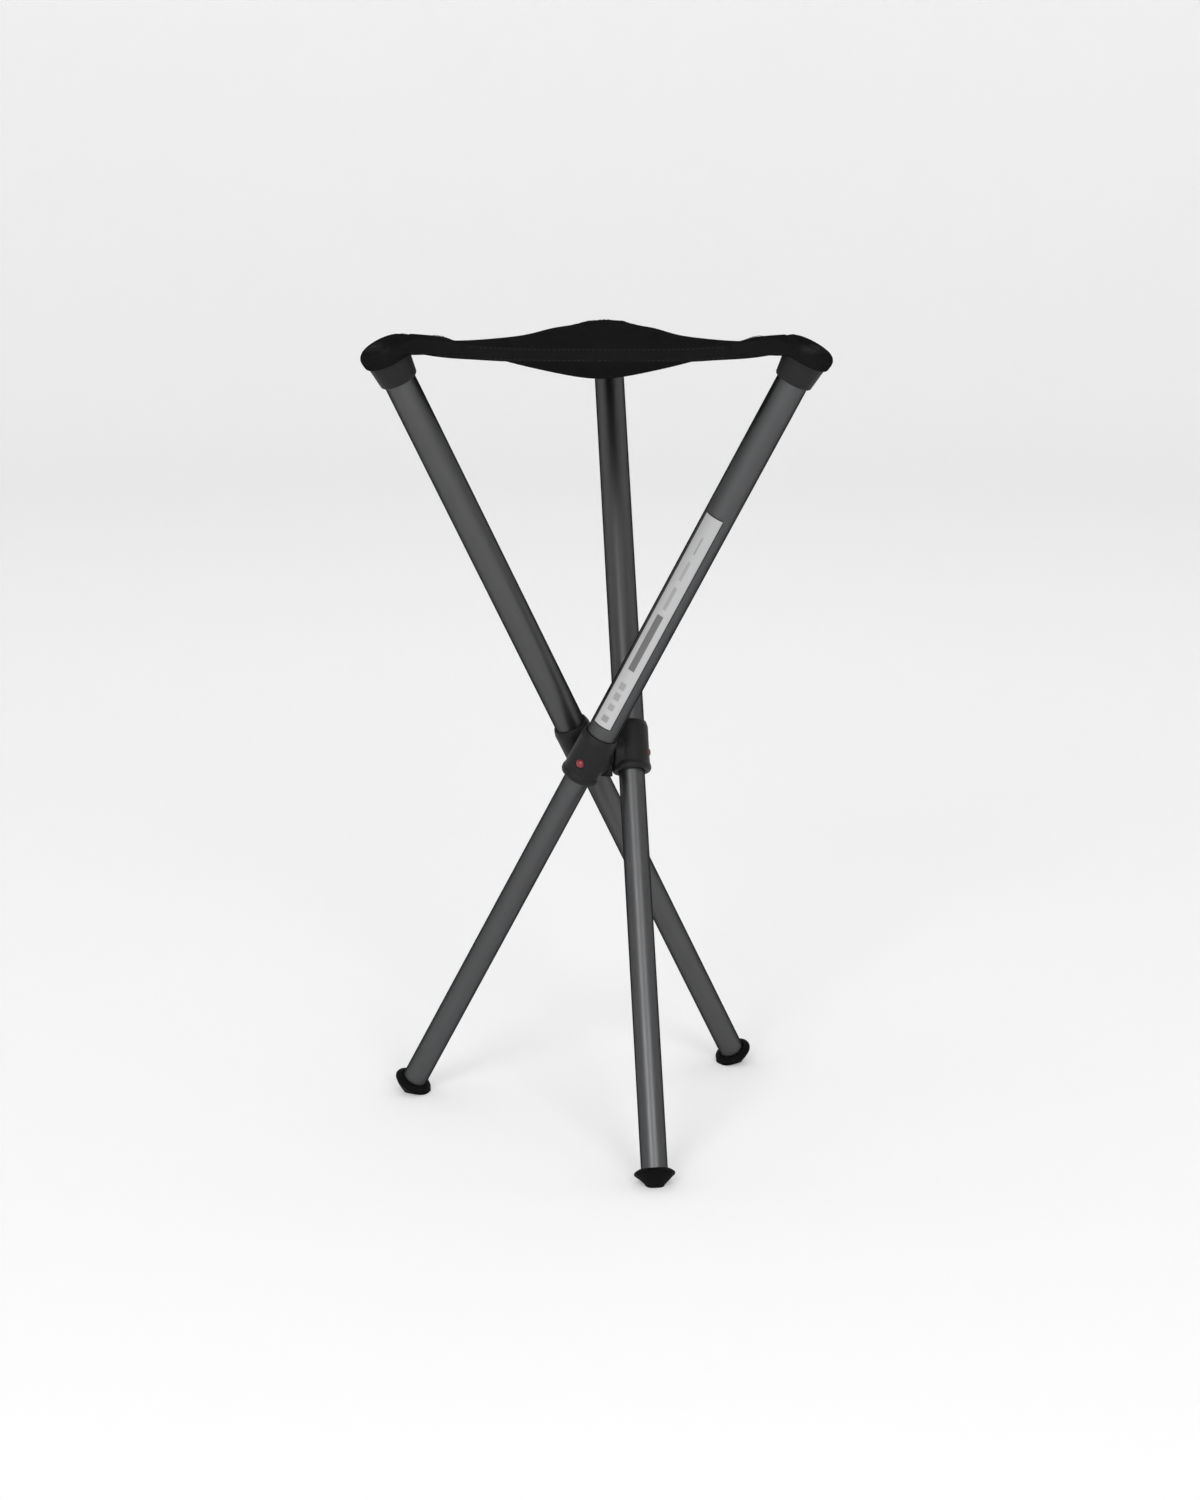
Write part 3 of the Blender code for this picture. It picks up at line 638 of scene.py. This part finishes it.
def foot_mesh():
    """Rings that run from square to the leg, round the rim, down to the level oval sole."""
    inward = Vector((0.0, math.cos(LEAN), math.sin(LEAN)))
    upward = Vector((0.0, -math.sin(LEAN), math.cos(LEAN)))
    sole_centre = Vector((0.0, 0.0, GROUND_AT)) + 7.6 * MM * inward
    square = [
        (8.25, -294.5), (8.25, -311.9), (8.6, -312.4), (9.7, -312.5), (10.05, -312.1), (10.1, -311.0),
        (10.5, -310.6), (11.2, -310.7), (12.4, -311.3), (13.9, -312.3), (14.7, -313.1), (14.95, -314.0),
        (14.7, -314.9), (14.2, -315.4),
    ]
    rings = []
    for radius, height in mm(square):
        rings.append((Vector((0, 0, height)), radius * Vector((1, 0, 0)), radius * Vector((0, 1, 0))))
    last = rings[-1]
    sole = (sole_centre + 0.9 * MM * upward, 7.5 * MM * Vector((1, 0, 0)), 10.3 * MM * inward)
    steps = 7
    for step in range(1, steps + 1):
        t = step / steps
        bow = 0.7 * MM * math.sin(math.pi * t)
        centre = last[0].lerp(sole[0], t)
        side = last[1].lerp(sole[1], t)
        forth = last[2].lerp(sole[2], t)
        rings.append((centre, side * (1 + bow / side.length), forth * (1 + bow / forth.length)))
    for shrink, height in ((0.02, 0.5), (0.2, 0.15), (0.5, 0.0), (2.6, 0.0), (3.0, 0.5)):
        rings.append((
            sole_centre + height * MM * upward,
            (7.5 - shrink) * MM * Vector((1, 0, 0)),
            (10.3 - shrink) * MM * inward,
        ))
    segments = 72
    bm = bmesh.new()
    loops = []
    for row, (centre, side, forth) in enumerate(rings):
        power = 1 - 0.38 * min(1.0, max(0.0, (row - len(square) + 1) / steps))
        loop = []
        for step in range(segments):
            angle = 2 * math.pi * step / segments
            x = math.copysign(abs(math.cos(angle)) ** power, math.cos(angle))
            y = math.copysign(abs(math.sin(angle)) ** power, math.sin(angle))
            loop.append(bm.verts.new(centre + side * x + forth * y))
        loops.append(loop)
    for first, second in zip(loops, loops[1:]):
        bridge(bm, first, second)
    bm.faces.new(loops[0])
    bm.faces.new(loops[-1])
    return sharpen(finished(bm, "rubber_foot"), 40.0)


def label_mesh():
    """Rounded-corner film bent round the tube, 0.15 mm thick, with UV in metres."""
    inner = UPPER_RADIUS + 0.12 * MM
    outer = inner + 0.15 * MM
    columns, rows = 24, 60
    start = 33.0 * MM
    corner = 1.6 * MM
    half = LABEL_WIDTH / 2
    points, uvs = [], []
    for radius in (inner, outer):
        for row in range(rows + 1):
            along = LABEL_LENGTH * (0.5 - 0.5 * math.cos(math.pi * row / rows))
            end = min(along, LABEL_LENGTH - along)
            inset = 0.0
            if end < corner:
                inset = corner - math.sqrt(max(0.0, corner**2 - (corner - end) ** 2))
            for column in range(columns + 1):
                across = (half - inset) * (2 * column / columns - 1)
                angle = across / outer
                points.append((radius * math.cos(angle), radius * math.sin(angle), start + along))
                uvs.append((across, along))
    layer = (rows + 1) * (columns + 1)
    faces = []
    for row in range(rows):
        for column in range(columns):
            a = row * (columns + 1) + column
            b, c, d = a + 1, a + columns + 2, a + columns + 1
            faces.append((a, d, c, b))
            faces.append(tuple(v + layer for v in (a, b, c, d)))
    border = list(range(columns))
    border += [columns + row * (columns + 1) for row in range(rows)]
    border += [rows * (columns + 1) + columns - column for column in range(columns)]
    border += [(rows - row) * (columns + 1) for row in range(rows)]
    for first, second in zip(border, border[1:] + border[:1]):
        faces.append((first, second, second + layer, first + layer))
    return sharpen(make_mesh("size_label_film", points, faces, uvs), 50.0)


def build_legs():
    upper = tube_mesh("upper_tube_round", UPPER_RADIUS, -11.0 * MM, 346.9 * MM, drilled=True)
    lower = tube_mesh("lower_tube_round", LOWER_RADIUS, -312.2 * MM, 35.0 * MM)
    pieces = [
        ("tube_upper_", upper, TUBE, "leg_", "tube", "upper_tube_"),
        ("tube_lower_", lower, TUBE, "lower_leg_", "tube", "lower_tube_"),
        ("joint_sleeve_", sleeve_mesh(), SLEEVE, "leg_", "plastic", "sleeve_"),
        ("push_button_", button_mesh(), RED, "button_", "button", "release_button_"),
        ("leg_collar_", collar_mesh(), COLLAR, "leg_", "plastic", "leg_cap_"),
        ("rubber_foot_", foot_mesh(), RUBBER, "lower_leg_", "foot_rubber", "foot_"),
    ]
    for corner in CORNERS:
        for name, mesh, material, body, slot, node in pieces:
            place(name + corner, mesh, material, leg_matrix(corner), body + corner, slot, node + corner)
    place("label_film", label_mesh(), LABEL, leg_matrix("right"), "leg_right", "label", "size_label")


# ------------------------------------------------------------------ seat shape


def corner_direction(corner):
    azimuth = math.radians(CORNERS[corner])
    return Vector((math.cos(azimuth), math.sin(azimuth), 0.0))


def edge_hang(near, far):
    along = (near - far) / max(near + far, 0.001)
    raw = 1 - 2.75 * along**4
    return (raw + math.sqrt(raw**2 + 0.025)) / 2


def belly_share(weights):
    """How deep the sag is at a point: a little bubble plus a soft three-sided pyramid."""
    bubble = 27 * weights[0] * weights[1] * weights[2]
    sharpness = 13.0
    total = sum(math.exp(-sharpness * weight) for weight in weights)
    pyramid = max(0.0, -3 * math.log(total) / sharpness) / (1 - 3 * math.log(3) / sharpness)
    return 0.2 * bubble + 0.8 * pyramid**1.6


def seat_point(weights, corner_radius):
    """A point of the seat, relative to the ground under the hub, from its three weights."""
    names = list(CORNERS)
    point = Vector((0.0, 0.0, SEAT_CORNER_HEIGHT))
    for name, weight in zip(names, weights):
        point += corner_radius * weight * corner_direction(name)
    for index, name in enumerate(names):
        near, far = weights[index - 2], weights[index - 1]
        across = near + far
        point += EDGE_PULL * 4 * near * far * across * corner_direction(name)
        point.z -= EDGE_SAG * edge_hang(near, far) * across**2
    point.z -= BELLY * belly_share(weights)
    point.z += BACK_LIFT * math.exp(-(((1 - weights[0]) - 0.3) / 0.11) ** 2)
    point.z -= BACK_DROP * min(1.15, max(0.0, (weights[0] - 0.77) / 0.13)) ** 2
    return point


def weights_at(index, own, following):
    """Corner weights from those of one corner and of the corner after it."""
    weights = [0.0, 0.0, 0.0]
    weights[index] = own
    weights[(index + 1) % 3] = following
    weights[(index + 2) % 3] = 1 - own - following
    return weights


HUB_GROUND = Vector((HUB.x, HUB.y, 0.0))
SHEET_INSET = 2.0 * MM
SHEET_END_DEPTH = 0.118


def sector_grid(index, across, along):
    """Weights of the points of one third of the seat, as rows from its cut corner end to the
    lines that it shares with the other thirds."""
    middle = (1 / 3, 1 / 3, 1 / 3)
    rows = []
    for step in range(along + 1):
        v = step / along
        row = []
        for column in range(across + 1):
            u = column / across
            near = weights_at(index, 1 - SHEET_END_DEPTH, SHEET_END_DEPTH * (1 - u))
            if u <= 0.5:
                far = [a + (b - a) * 2 * u for a, b in zip(weights_at(index, 0.5, 0.5), middle)]
            else:
                far = [a + (b - a) * (2 * u - 1) for a, b in zip(middle, weights_at(index, 0.5, 0.0))]
            row.append(tuple((1 - v) * a + v * b for a, b in zip(near, far)))
        rows.append(row)
    return rows


def sheet_grid(across, along):
    """The whole sheet: points, corner weights, and the faces of each third. The thirds share
    the vertices of the lines between them."""
    points, weights, thirds, known = [], [], [], {}
    radius = SEAT_CORNER_RADIUS - SHEET_INSET
    for index in range(3):
        rows = []
        for row in sector_grid(index, across, along):
            line = []
            for w in row:
                key = tuple(round(value, 6) for value in w)
                if key not in known:
                    known[key] = len(points)
                    points.append(HUB_GROUND + seat_point(w, radius))
                    weights.append(w)
                line.append(known[key])
            rows.append(line)
        faces = []
        for first, second in zip(rows, rows[1:]):
            for column in range(across):
                faces.append((first[column], first[column + 1], second[column + 1], second[column]))
        thirds.append(faces)
    return points, weights, thirds


def settle_cloth(points, faces, weights):
    """Let the sheet hang in its hems for a moment: the edges and corner ends stay pinned."""
    mesh = make_mesh("cloth_cut", points, faces)
    obj = add_object("cloth_cut", mesh)
    group = obj.vertex_groups.new(name="pinned")
    for index, w in enumerate(weights):
        held = min(w) < 0.01 or max(w) > 0.8
        group.add([index], 1.0 if held else 0.0, "REPLACE")
    cloth = obj.modifiers.new("cloth", "CLOTH")
    settings = {
        "quality": 8, "mass": 0.25, "tension_stiffness": 60, "compression_stiffness": 25,
        "shear_stiffness": 20, "bending_stiffness": 1.2, "tension_damping": 25, "air_damping": 4,
        "shrink_min": -0.004, "vertex_group_mass": "pinned",
    }
    for key, value in settings.items():
        setattr(cloth.settings, key, value)
    cloth.collision_settings.use_collision = False
    frames = 30
    cloth.point_cache.frame_start = 1
    cloth.point_cache.frame_end = frames
    scene = bpy.context.scene
    for step in range(1, frames + 1):
        scene.frame_set(step)
    graph = bpy.context.evaluated_depsgraph_get()
    settled = obj.evaluated_get(graph).data
    moved = []
    reach = 5.0 * MM
    for before, vertex in zip(points, settled.vertices):
        shift = vertex.co - before
        if shift.length > reach:
            shift = shift.normalized() * reach
        moved.append(before + shift)
    scene.frame_set(1)
    bpy.data.objects.remove(obj)
    return moved


def vertex_normals(points, faces):
    """Area-weighted normals, turned to point up."""
    p = np.array([tuple(q) for q in points])
    f = np.array(faces)
    cross = np.cross(p[f[:, 2]] - p[f[:, 0]], p[f[:, 3]] - p[f[:, 1]])
    cross[cross[:, 2] < 0] *= -1
    normals = np.zeros_like(p)
    for column in range(4):
        np.add.at(normals, f[:, column], cross)
    return normals / np.linalg.norm(normals, axis=1)[:, None]


def build_sheet():
    """The three thirds of the cloth as meshes."""
    across, along = ((48, 40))
    points, weights, thirds = sheet_grid(across, along)
    faces = [face for third in thirds for face in third]
    points = settle_cloth(points, faces, weights)
    normals = vertex_normals(points, faces)
    return {
        corner: sector_mesh("seat_cloth_" + corner, points, normals, third)
        for corner, third in zip(CORNERS, thirds)
    }


def sector_mesh(name, points, normals, faces):
    """One third of the sheet with thickness. Its shading is that of the undivided sheet, so
    the lines between the thirds don't show."""
    half = CLOTH_THICKNESS / 2
    used = sorted({v for face in faces for v in face})
    number = {v: index for index, v in enumerate(used)}
    count = len(used)
    spots = [points[v] + Vector(normals[v]) * half for v in used]
    spots += [points[v] - Vector(normals[v]) * half for v in used]
    solid, shades, borders = [], [], {}
    for face in faces:
        a, b, c, d = face
        up = (points[c] - points[a]).cross(points[d] - points[b]).z > 0
        order = face if up else tuple(reversed(face))
        solid.append(tuple(number[v] for v in order))
        shades.append([normals[v] for v in order])
        solid.append(tuple(number[v] + count for v in reversed(order)))
        shades.append([-normals[v] for v in reversed(order)])
        for first, second in zip(order, order[1:] + order[:1]):
            borders[(first, second)] = True
    for first, second in list(borders):
        if (second, first) not in borders:
            out = (points[second] - points[first]).cross(Vector(normals[first])).normalized()
            solid.append((number[second], number[first], number[first] + count, number[second] + count))
            shades.append([tuple(out)] * 4)
    mesh = make_mesh(name, spots, solid, [(p.x, p.y) for p in spots])
    mesh.shade_smooth()
    mesh.normals_split_custom_set([tuple(n) for shade in shades for n in shade])
    return mesh


def hem_path(first, second, start, stop, steps):
    """Points and side directions along a seat edge, by share of the way between two corners."""
    result = []
    for step in range(steps + 1):
        t = start + (stop - start) * step / steps
        spots = []
        for u in (t - 0.002, t, t + 0.002):
            weights = [0.0, 0.0, 0.0]
            weights[first], weights[second] = 1 - u, u
            spots.append(HUB_GROUND + seat_point(weights, SEAT_CORNER_RADIUS))
        along = (spots[2] - spots[0]).normalized()
        side = Vector((along.y, -along.x, 0.0)).normalized()
        result.append((spots[1], along, side))
    return result


def hem_height(share):
    """The hem is 10.4 mm high, and deepens towards the corner, where it runs into the pocket."""
    t = min(1.0, max(0.0, (0.25 - share) / 0.15))
    return (10.4 + 2.4 * t * t * (3 - 2 * t)) * MM


def hem_section(height):
    """A folded tape on edge, as (side, height) pairs: rounded ends and a pinched waist."""
    half, top = HEM_THICKNESS / 2, HEM_TOP
    bottom = top - height
    waist = half * 0.84
    corners = [
        (-half, top), (half, top), (half, top - 2.4 * MM), (waist, top - 3.6 * MM),
        (waist, bottom + 3.4 * MM), (half, bottom + 2.2 * MM), (half, bottom), (-half, bottom),
        (-half, bottom + 2.2 * MM), (-waist, bottom + 3.4 * MM), (-waist, top - 3.6 * MM),
        (-half, top - 2.4 * MM),
    ]
    return rounded(corners, 0.9 * MM, 4, closed=True)


def swept(name, path, sections):
    """Sweep closed (side, height) sections along a path, with UV in metres and closed ends. A
    slow waver leans the tape a little from side to side."""
    count = len(sections[0])
    points, uvs, faces = [], [], []
    run = 0.0
    previous = path[0][0]
    for (centre, _, side), section in zip(path, sections):
        run += (centre - previous).length
        previous = centre
        sway = 0.036 * math.sin(run * 95.0 + 1.3) * math.sin(run * 41.0)
        girth = 0.0
        for index, (across, height) in enumerate(section):
            if index:
                girth += (Vector(section[index]) - Vector(section[index - 1])).length
            points.append(centre + side * (across + sway * height) + Vector((0, 0, height)))
            uvs.append((run, girth))
    rows = len(path)
    for row in range(rows - 1):
        for index in range(count):
            a = row * count + index
            b = row * count + (index + 1) % count
            faces.append((a, b, b + count, a + count))
    faces.append(tuple(range(count)))
    faces.append(tuple((rows - 1) * count + index for index in range(count)))
    mesh = make_mesh(name, points, faces, uvs)
    bm = bmesh.new()
    bm.from_mesh(mesh)
    bmesh.ops.recalc_face_normals(bm, faces=bm.faces)
    bm.to_mesh(mesh)
    bm.free()
    return sharpen(mesh, 50.0)


def stitch_mesh(name, spots):
    """Small lens-shaped stitches, each lying along its seam: (centre, along, outward)."""
    bm = bmesh.new()
    length, width, lift = 2.3 * MM, 0.42 * MM, 0.26 * MM
    for centre, along, outward in spots:
        side = outward.cross(along).normalized()
        rings = []
        for t in (-1.0, -0.72, -0.3, 0.3, 0.72, 1.0):
            swell = math.sqrt(max(0.0, 1 - t**4)) if abs(t) < 1 else 0.0
            middle = centre + along * (t * length / 2) - outward * (0.12 * MM * t * t)
            if swell == 0.0:
                rings.append([bm.verts.new(middle)])
                continue
            ring = []
            for step in range(6):
                angle = math.pi * step / 3
                spread = side * (width * swell * math.cos(angle))
                rise = outward * (lift * swell * math.sin(angle))
                ring.append(bm.verts.new(middle + spread + rise))
            rings.append(ring)
        for first, second in zip(rings, rings[1:]):
            bridge(bm, first, second)
    mesh = finished(bm, name)
    mesh.shade_smooth()
    return mesh


def edge_at(corner, reach):
    """Half the width between the two hems, and the hems' level, at a distance from the hub's axis."""
    index = list(CORNERS).index(corner)
    to_corner = corner_matrix(corner).inverted()
    low, high = 0.0, 0.5
    for _ in range(30):
        share = (low + high) / 2
        weights = weights_at(index, 1 - share, share)
        spot = to_corner @ (HUB_GROUND + seat_point(weights, SEAT_CORNER_RADIUS))
        if spot.x > reach:
            low = share
        else:
            high = share
    return abs(spot.y), spot.z


def cloth_level(corner, reach, across):
    """The cloth's level at a place in the corner frame: straight across between the hems, but
    following the cloth's own curve further in."""
    index = list(CORNERS).index(corner)
    half, level = edge_at(corner, reach)
    depth = (SEAT_CORNER_RADIUS - reach) / (1.5 * SEAT_CORNER_RADIUS)
    split = 0.5 + 0.5 * max(-1.0, min(1.0, across / half))
    middle = seat_point(weights_at(index, 1 - depth, depth * split), SEAT_CORNER_RADIUS).z
    side = min(1.0, abs(across) / half)
    return middle + (level - middle) * side**4


def pocket_mesh(corner):
    """The sewn corner pocket in the corner frame: a sock over the collar that runs on as a
    reinforced tongue along both hems."""
    fall = 1.6 * MM
    to_corner = corner_matrix(corner).inverted()
    leg_here = to_corner @ leg_matrix(corner)
    crown = [(0, 353.4), (11.5, 353.1), (16.0, 352.0), (18.4, 348.9), (18.2, 345.0)]
    lining = [(0, 350.9), (12.4, 350.7), (15.8, 349.5), (16.5, 346.6)]
    if corner == "back":
        fall = 2.5 * MM
        crown = [(0, 351.2), (5.5, 350.9), (11.0, 349.9), (15.2, 347.8), (17.8, 344.9), (18.2, 343.0)]
        lining = [(0, 349.9), (6.0, 349.7), (10.8, 348.9), (14.2, 347.3), (16.2, 344.8)]
    dome_outline = rounded(mm([*crown, (17.4, 341.0), (0, 341.0)]), 1.5 * MM, 4)
    base = add_object("dome", lathe("dome", dome_outline), None, False)
    base.data.transform(leg_here)

    tongue = bmesh.new()
    top_rows, low_rows = [], []
    steps, wall = 32, 3.4 * MM
    for step in range(steps + 1):
        reach = (166.0 - 44.5 * step / steps) * MM
        half, level = edge_at(corner, reach)
        t = min(1.0, max(0.0, (reach / MM - 132.0) / 8.0))
        half = max(half + 1.8 * MM, t * t * (3 - 2 * t) * 18.2 * MM)
        beyond = max(0.0, reach / MM - 147.0)
        end = min(1.0, (reach / MM - 121.0) / 6.0)
        bottom = level - (4.0 + 8.6 * math.sqrt(1 - (1 - end) ** 2)) * MM
        bottom = max(bottom, 585.4 * MM)
        fill = min(1.0, max(0.0, (reach / MM - 143.0) / 6.0))
        top_row, low_row = [], []
        inner = 1 - wall / half
        right = (0.3, 0.6, inner * 0.93, inner, (1 + inner) / 2, 1)
        for y in (*(-value for value in reversed(right)), 0, *right):
            spot = Vector((reach, y * half, cloth_level(corner, reach, y * half)))
            top = spot.z + 0.8 * MM - 0.0167 * MM * beyond**2 - fall * t * abs(y) ** 2.2
            roof = spot.z - 1.1 * MM
            low = bottom if abs(y) >= inner * 0.999 else roof + fill * (bottom - roof)
            top_row.append(tongue.verts.new((spot.x, spot.y, top)))
            low_row.append(tongue.verts.new((spot.x, spot.y, low)))
        top_rows.append(top_row)
        low_rows.append(low_row)
    for rows in (top_rows, low_rows):
        for first, second in zip(rows, rows[1:]):
            for column in range(len(first) - 1):
                tongue.faces.new((first[column], first[column + 1], second[column + 1], second[column]))
    for rows in (0, -1):
        top_row, low_row = top_rows[rows], low_rows[rows]
        for column in range(len(top_row) - 1):
            tongue.faces.new((top_row[column], top_row[column + 1], low_row[column + 1], low_row[column]))
    for side in (0, -1):
        for first in range(steps):
            top_here, top_next = top_rows[first][side], top_rows[first + 1][side]
            low_here, low_next = low_rows[first][side], low_rows[first + 1][side]
            tongue.faces.new((top_here, top_next, low_next, low_here))
    tongue_obj = add_object("tongue", finished(tongue, "tongue"), None, False)
    combine(base, [tongue_obj], "UNION")
    inner_outline = mm([*lining, (16.3, 342.0), (16.0, 338.0), (13, 330.0), (0, 330.0)])
    hollow = add_object("hollow", lathe("hollow", inner_outline), None, False)
    hollow.data.transform(leg_here)
    combine(base, [hollow])
    return remeshed(base, [tongue_obj, hollow], 0.5 * MM, 18, 0.4, "corner_pocket_sock")


def tongue_stitches(corner):
    """Two rows of stitches across the tongue's inner end, in the corner frame."""
    index = list(CORNERS).index(corner)
    to_corner = corner_matrix(corner).inverted()
    spots = []
    for depth in (0.19, 0.176):
        line = []
        for column in range(41):
            split = 0.09 + 0.82 * column / 40
            weights = weights_at(index, 1 - depth, depth * split)
            line.append(to_corner @ (HUB_GROUND + seat_point(weights, SEAT_CORNER_RADIUS)))
        spots += seam_spots(line, 3.2 * MM, Vector((0, 0, 1)), 1.3 * MM)
    return stitch_mesh("tongue_stitching", spots)


def seam_spots(line, pitch, outward, lift):
    """Stitch places spaced evenly along a polyline."""
    spots = []
    run, next_at = 0.0, pitch / 2
    for first, second in zip(line, line[1:]):
        step = (second - first).length
        while run + step >= next_at:
            t = (next_at - run) / step
            along = (second - first).normalized()
            out = outward if isinstance(outward, Vector) else outward(along)
            out = (out - along * out.dot(along)).normalized()
            spots.append((first.lerp(second, t) + out * lift, along, out))
            next_at += pitch
        run += step
    return spots


HEMS = {"front": (1, 2), "right": (2, 0), "left": (0, 1)}


def build_seat():
    names = list(CORNERS)
    shapes = {corner: (pocket_mesh(corner), tongue_stitches(corner)) for corner in ("back", "left")}
    shapes["right"] = shapes["left"]
    sheets = build_sheet()
    hems = {corner: [] for corner in names}
    for corner in names:
        m, leg, node = corner_matrix(corner), "leg_" + corner, "corner_pocket_" + corner
        pocket, seam = shapes[corner]
        place("seat_pocket_" + corner, pocket, POCKET, m, leg, "seat_fabric", node)
        place("pocket_stitching_" + corner, seam, THREAD, m, leg, "seat_fabric")
    start_share, steps, stitched_from = 0.1, 48, 14
    for edge, (first, second) in HEMS.items():
        for own, other in ((first, second), (second, first)):
            corner = names[own]
            path = hem_path(own, other, start_share, 0.5, steps)
            shares = [start_share + (0.5 - start_share) * step / steps for step in range(steps + 1)]
            sections = [hem_section(hem_height(share)) for share in shares]
            hem = add_object(f"seat_hem_{edge}_{corner}", swept("hem", path, sections), HEM, False)
            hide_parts("seat_webbing_" + edge)
            spots = []
            for row in (-1.1 * MM, 1.4 * MM):
                line = [
                    centre + Vector((0, 0, row if row < 0 else HEM_TOP - hem_height(share) + row))
                    for (centre, _, _), share in zip(path[stitched_from:], shares[stitched_from:])
                ]
                for face in (1, -1):
                    outward = lambda along, face=face: face * Vector((along.y, -along.x, 0))
                    spots += seam_spots(line, 3.4 * MM, outward, HEM_THICKNESS * 0.46)
            stitches = stitch_mesh("hem_stitches", spots)
            seam = add_object(f"hem_stitching_{edge}_{corner}", stitches, THREAD, False)
            hems[corner] += [hem, seam]
    for corner in names:
        sheet = add_object("seat_cloth_" + corner, sheets[corner], CLOTH, False)
        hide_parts("seat_panel")
        for piece in [sheet, *hems[corner]]:
            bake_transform(piece)


# ------------------------------------------------------------------ CAD nodes that stay


def dress_cad_nodes():
    """Materials and softened edges for the CAD nodes whose shape is right."""
    looks = {
        "hub_upper_half": (HUB_PLASTIC, 0.5), "hub_lower_half": (HUB_PLASTIC, 0.5),
        "hub_screw": (STEEL, 0.2), "hub_nut": (STEEL, 0.2),
        "pivot_pin": (STEEL, 0.15), "pivot_washer": (NYLON, 0.08),
        "tube_guide": (NYLON, 0.25), "snap_spring": (STEEL, 0.08),
    }
    for name, node in NODES.items():
        kind = next((key for key in looks if name.startswith(key)), None)
        if kind is None:
            continue
        material, edge = looks[kind]
        node.data.materials.clear()
        node.data.materials.append(material)
        bevel = node.modifiers.new("soft_edges", "BEVEL")
        bevel.width = edge * MM
        bevel.segments = 2
        bevel.limit_method = "ANGLE"
        bevel.angle_limit = math.radians(40)
        bevel.use_clamp_overlap = True


# ------------------------------------------------------------------ stage, lights and camera


def build_stage():
    """A pale round floor whose rim curves up into a wall all round the stool."""
    flat, radius, top = 4.2, 1.6, 6.0
    outline = [(0.0, 0.0), (1.0, 0.0), (2.5, 0.0), (flat, 0.0)]
    for step in range(1, 17):
        angle = math.pi / 2 * step / 16
        outline.append((flat + radius * math.sin(angle), radius * (1 - math.cos(angle))))
    outline.append((flat + radius, top))
    floor = add_object("studio_floor", lathe("studio_floor", outline, 128), FLOOR)


KEY_POWER = 42.0
TOP_POWER = 16.0
BACKDROP_POWER = 20.0
WORLD_STRENGTH = 0.24


def area_light(name, location, target, size, power):
    data = bpy.data.lights.new(name, "AREA")
    data.shape = "RECTANGLE"
    data.size, data.size_y = size
    data.energy = power
    light = bpy.data.objects.new(name, data)
    bpy.context.scene.collection.objects.link(light)
    light.location = location
    light.visible_camera = False
    aim = Vector(target) - Vector(location)
    light.rotation_euler = aim.to_track_quat("-Z", "Y").to_euler()


def build_lights():
    area_light("key_left", (-1.1, -3.1, 1.9), (0, 0, 0.32), (1.3, 1.8), KEY_POWER)
    area_light("key_right", (1.2, -3.0, 1.8), (0, 0, 0.32), (1.2, 1.8), 0.8 * KEY_POWER)
    area_light("top", (0, 0.4, 3.4), (0, 0.4, 0.0), (4.0, 3.0), TOP_POWER)
    area_light("backdrop", (0, 1.6, 3.0), (0, 4.3, 0.2), (6.0, 1.6), BACKDROP_POWER)
    world = bpy.data.worlds.new("studio")
    bpy.context.scene.world = world
    world.use_nodes = True
    background = world.node_tree.nodes["Background"]
    background.inputs["Color"].default_value = (1.0, 1.0, 1.0, 1.0)
    background.inputs["Strength"].default_value = WORLD_STRENGTH


CAMERA_AZIMUTH = math.radians(-88.3)
CAMERA_DISTANCE = 1.8142
CAMERA_HEIGHT = 0.7042
CAMERA_PITCH = math.radians(12.98)
CAMERA_LENS = 59.54


def build_camera():
    data = bpy.data.cameras.new("camera")
    data.lens = CAMERA_LENS
    data.sensor_width = 36.0
    data.clip_end = 50.0
    camera = bpy.data.objects.new("camera", data)
    bpy.context.scene.collection.objects.link(camera)
    towards = Vector((-math.cos(CAMERA_AZIMUTH), -math.sin(CAMERA_AZIMUTH), 0.0))
    camera.location = HUB_GROUND - towards * CAMERA_DISTANCE + Vector((0, 0, CAMERA_HEIGHT))
    look = towards * math.cos(CAMERA_PITCH) - Vector((0, 0, math.sin(CAMERA_PITCH)))
    camera.rotation_euler = look.to_track_quat("-Z", "Y").to_euler()
    bpy.context.scene.camera = camera


build_legs()
build_seat()
dress_cad_nodes()
build_stage()
build_lights()
build_camera()
bpy.context.scene.view_settings.view_transform = "Standard"
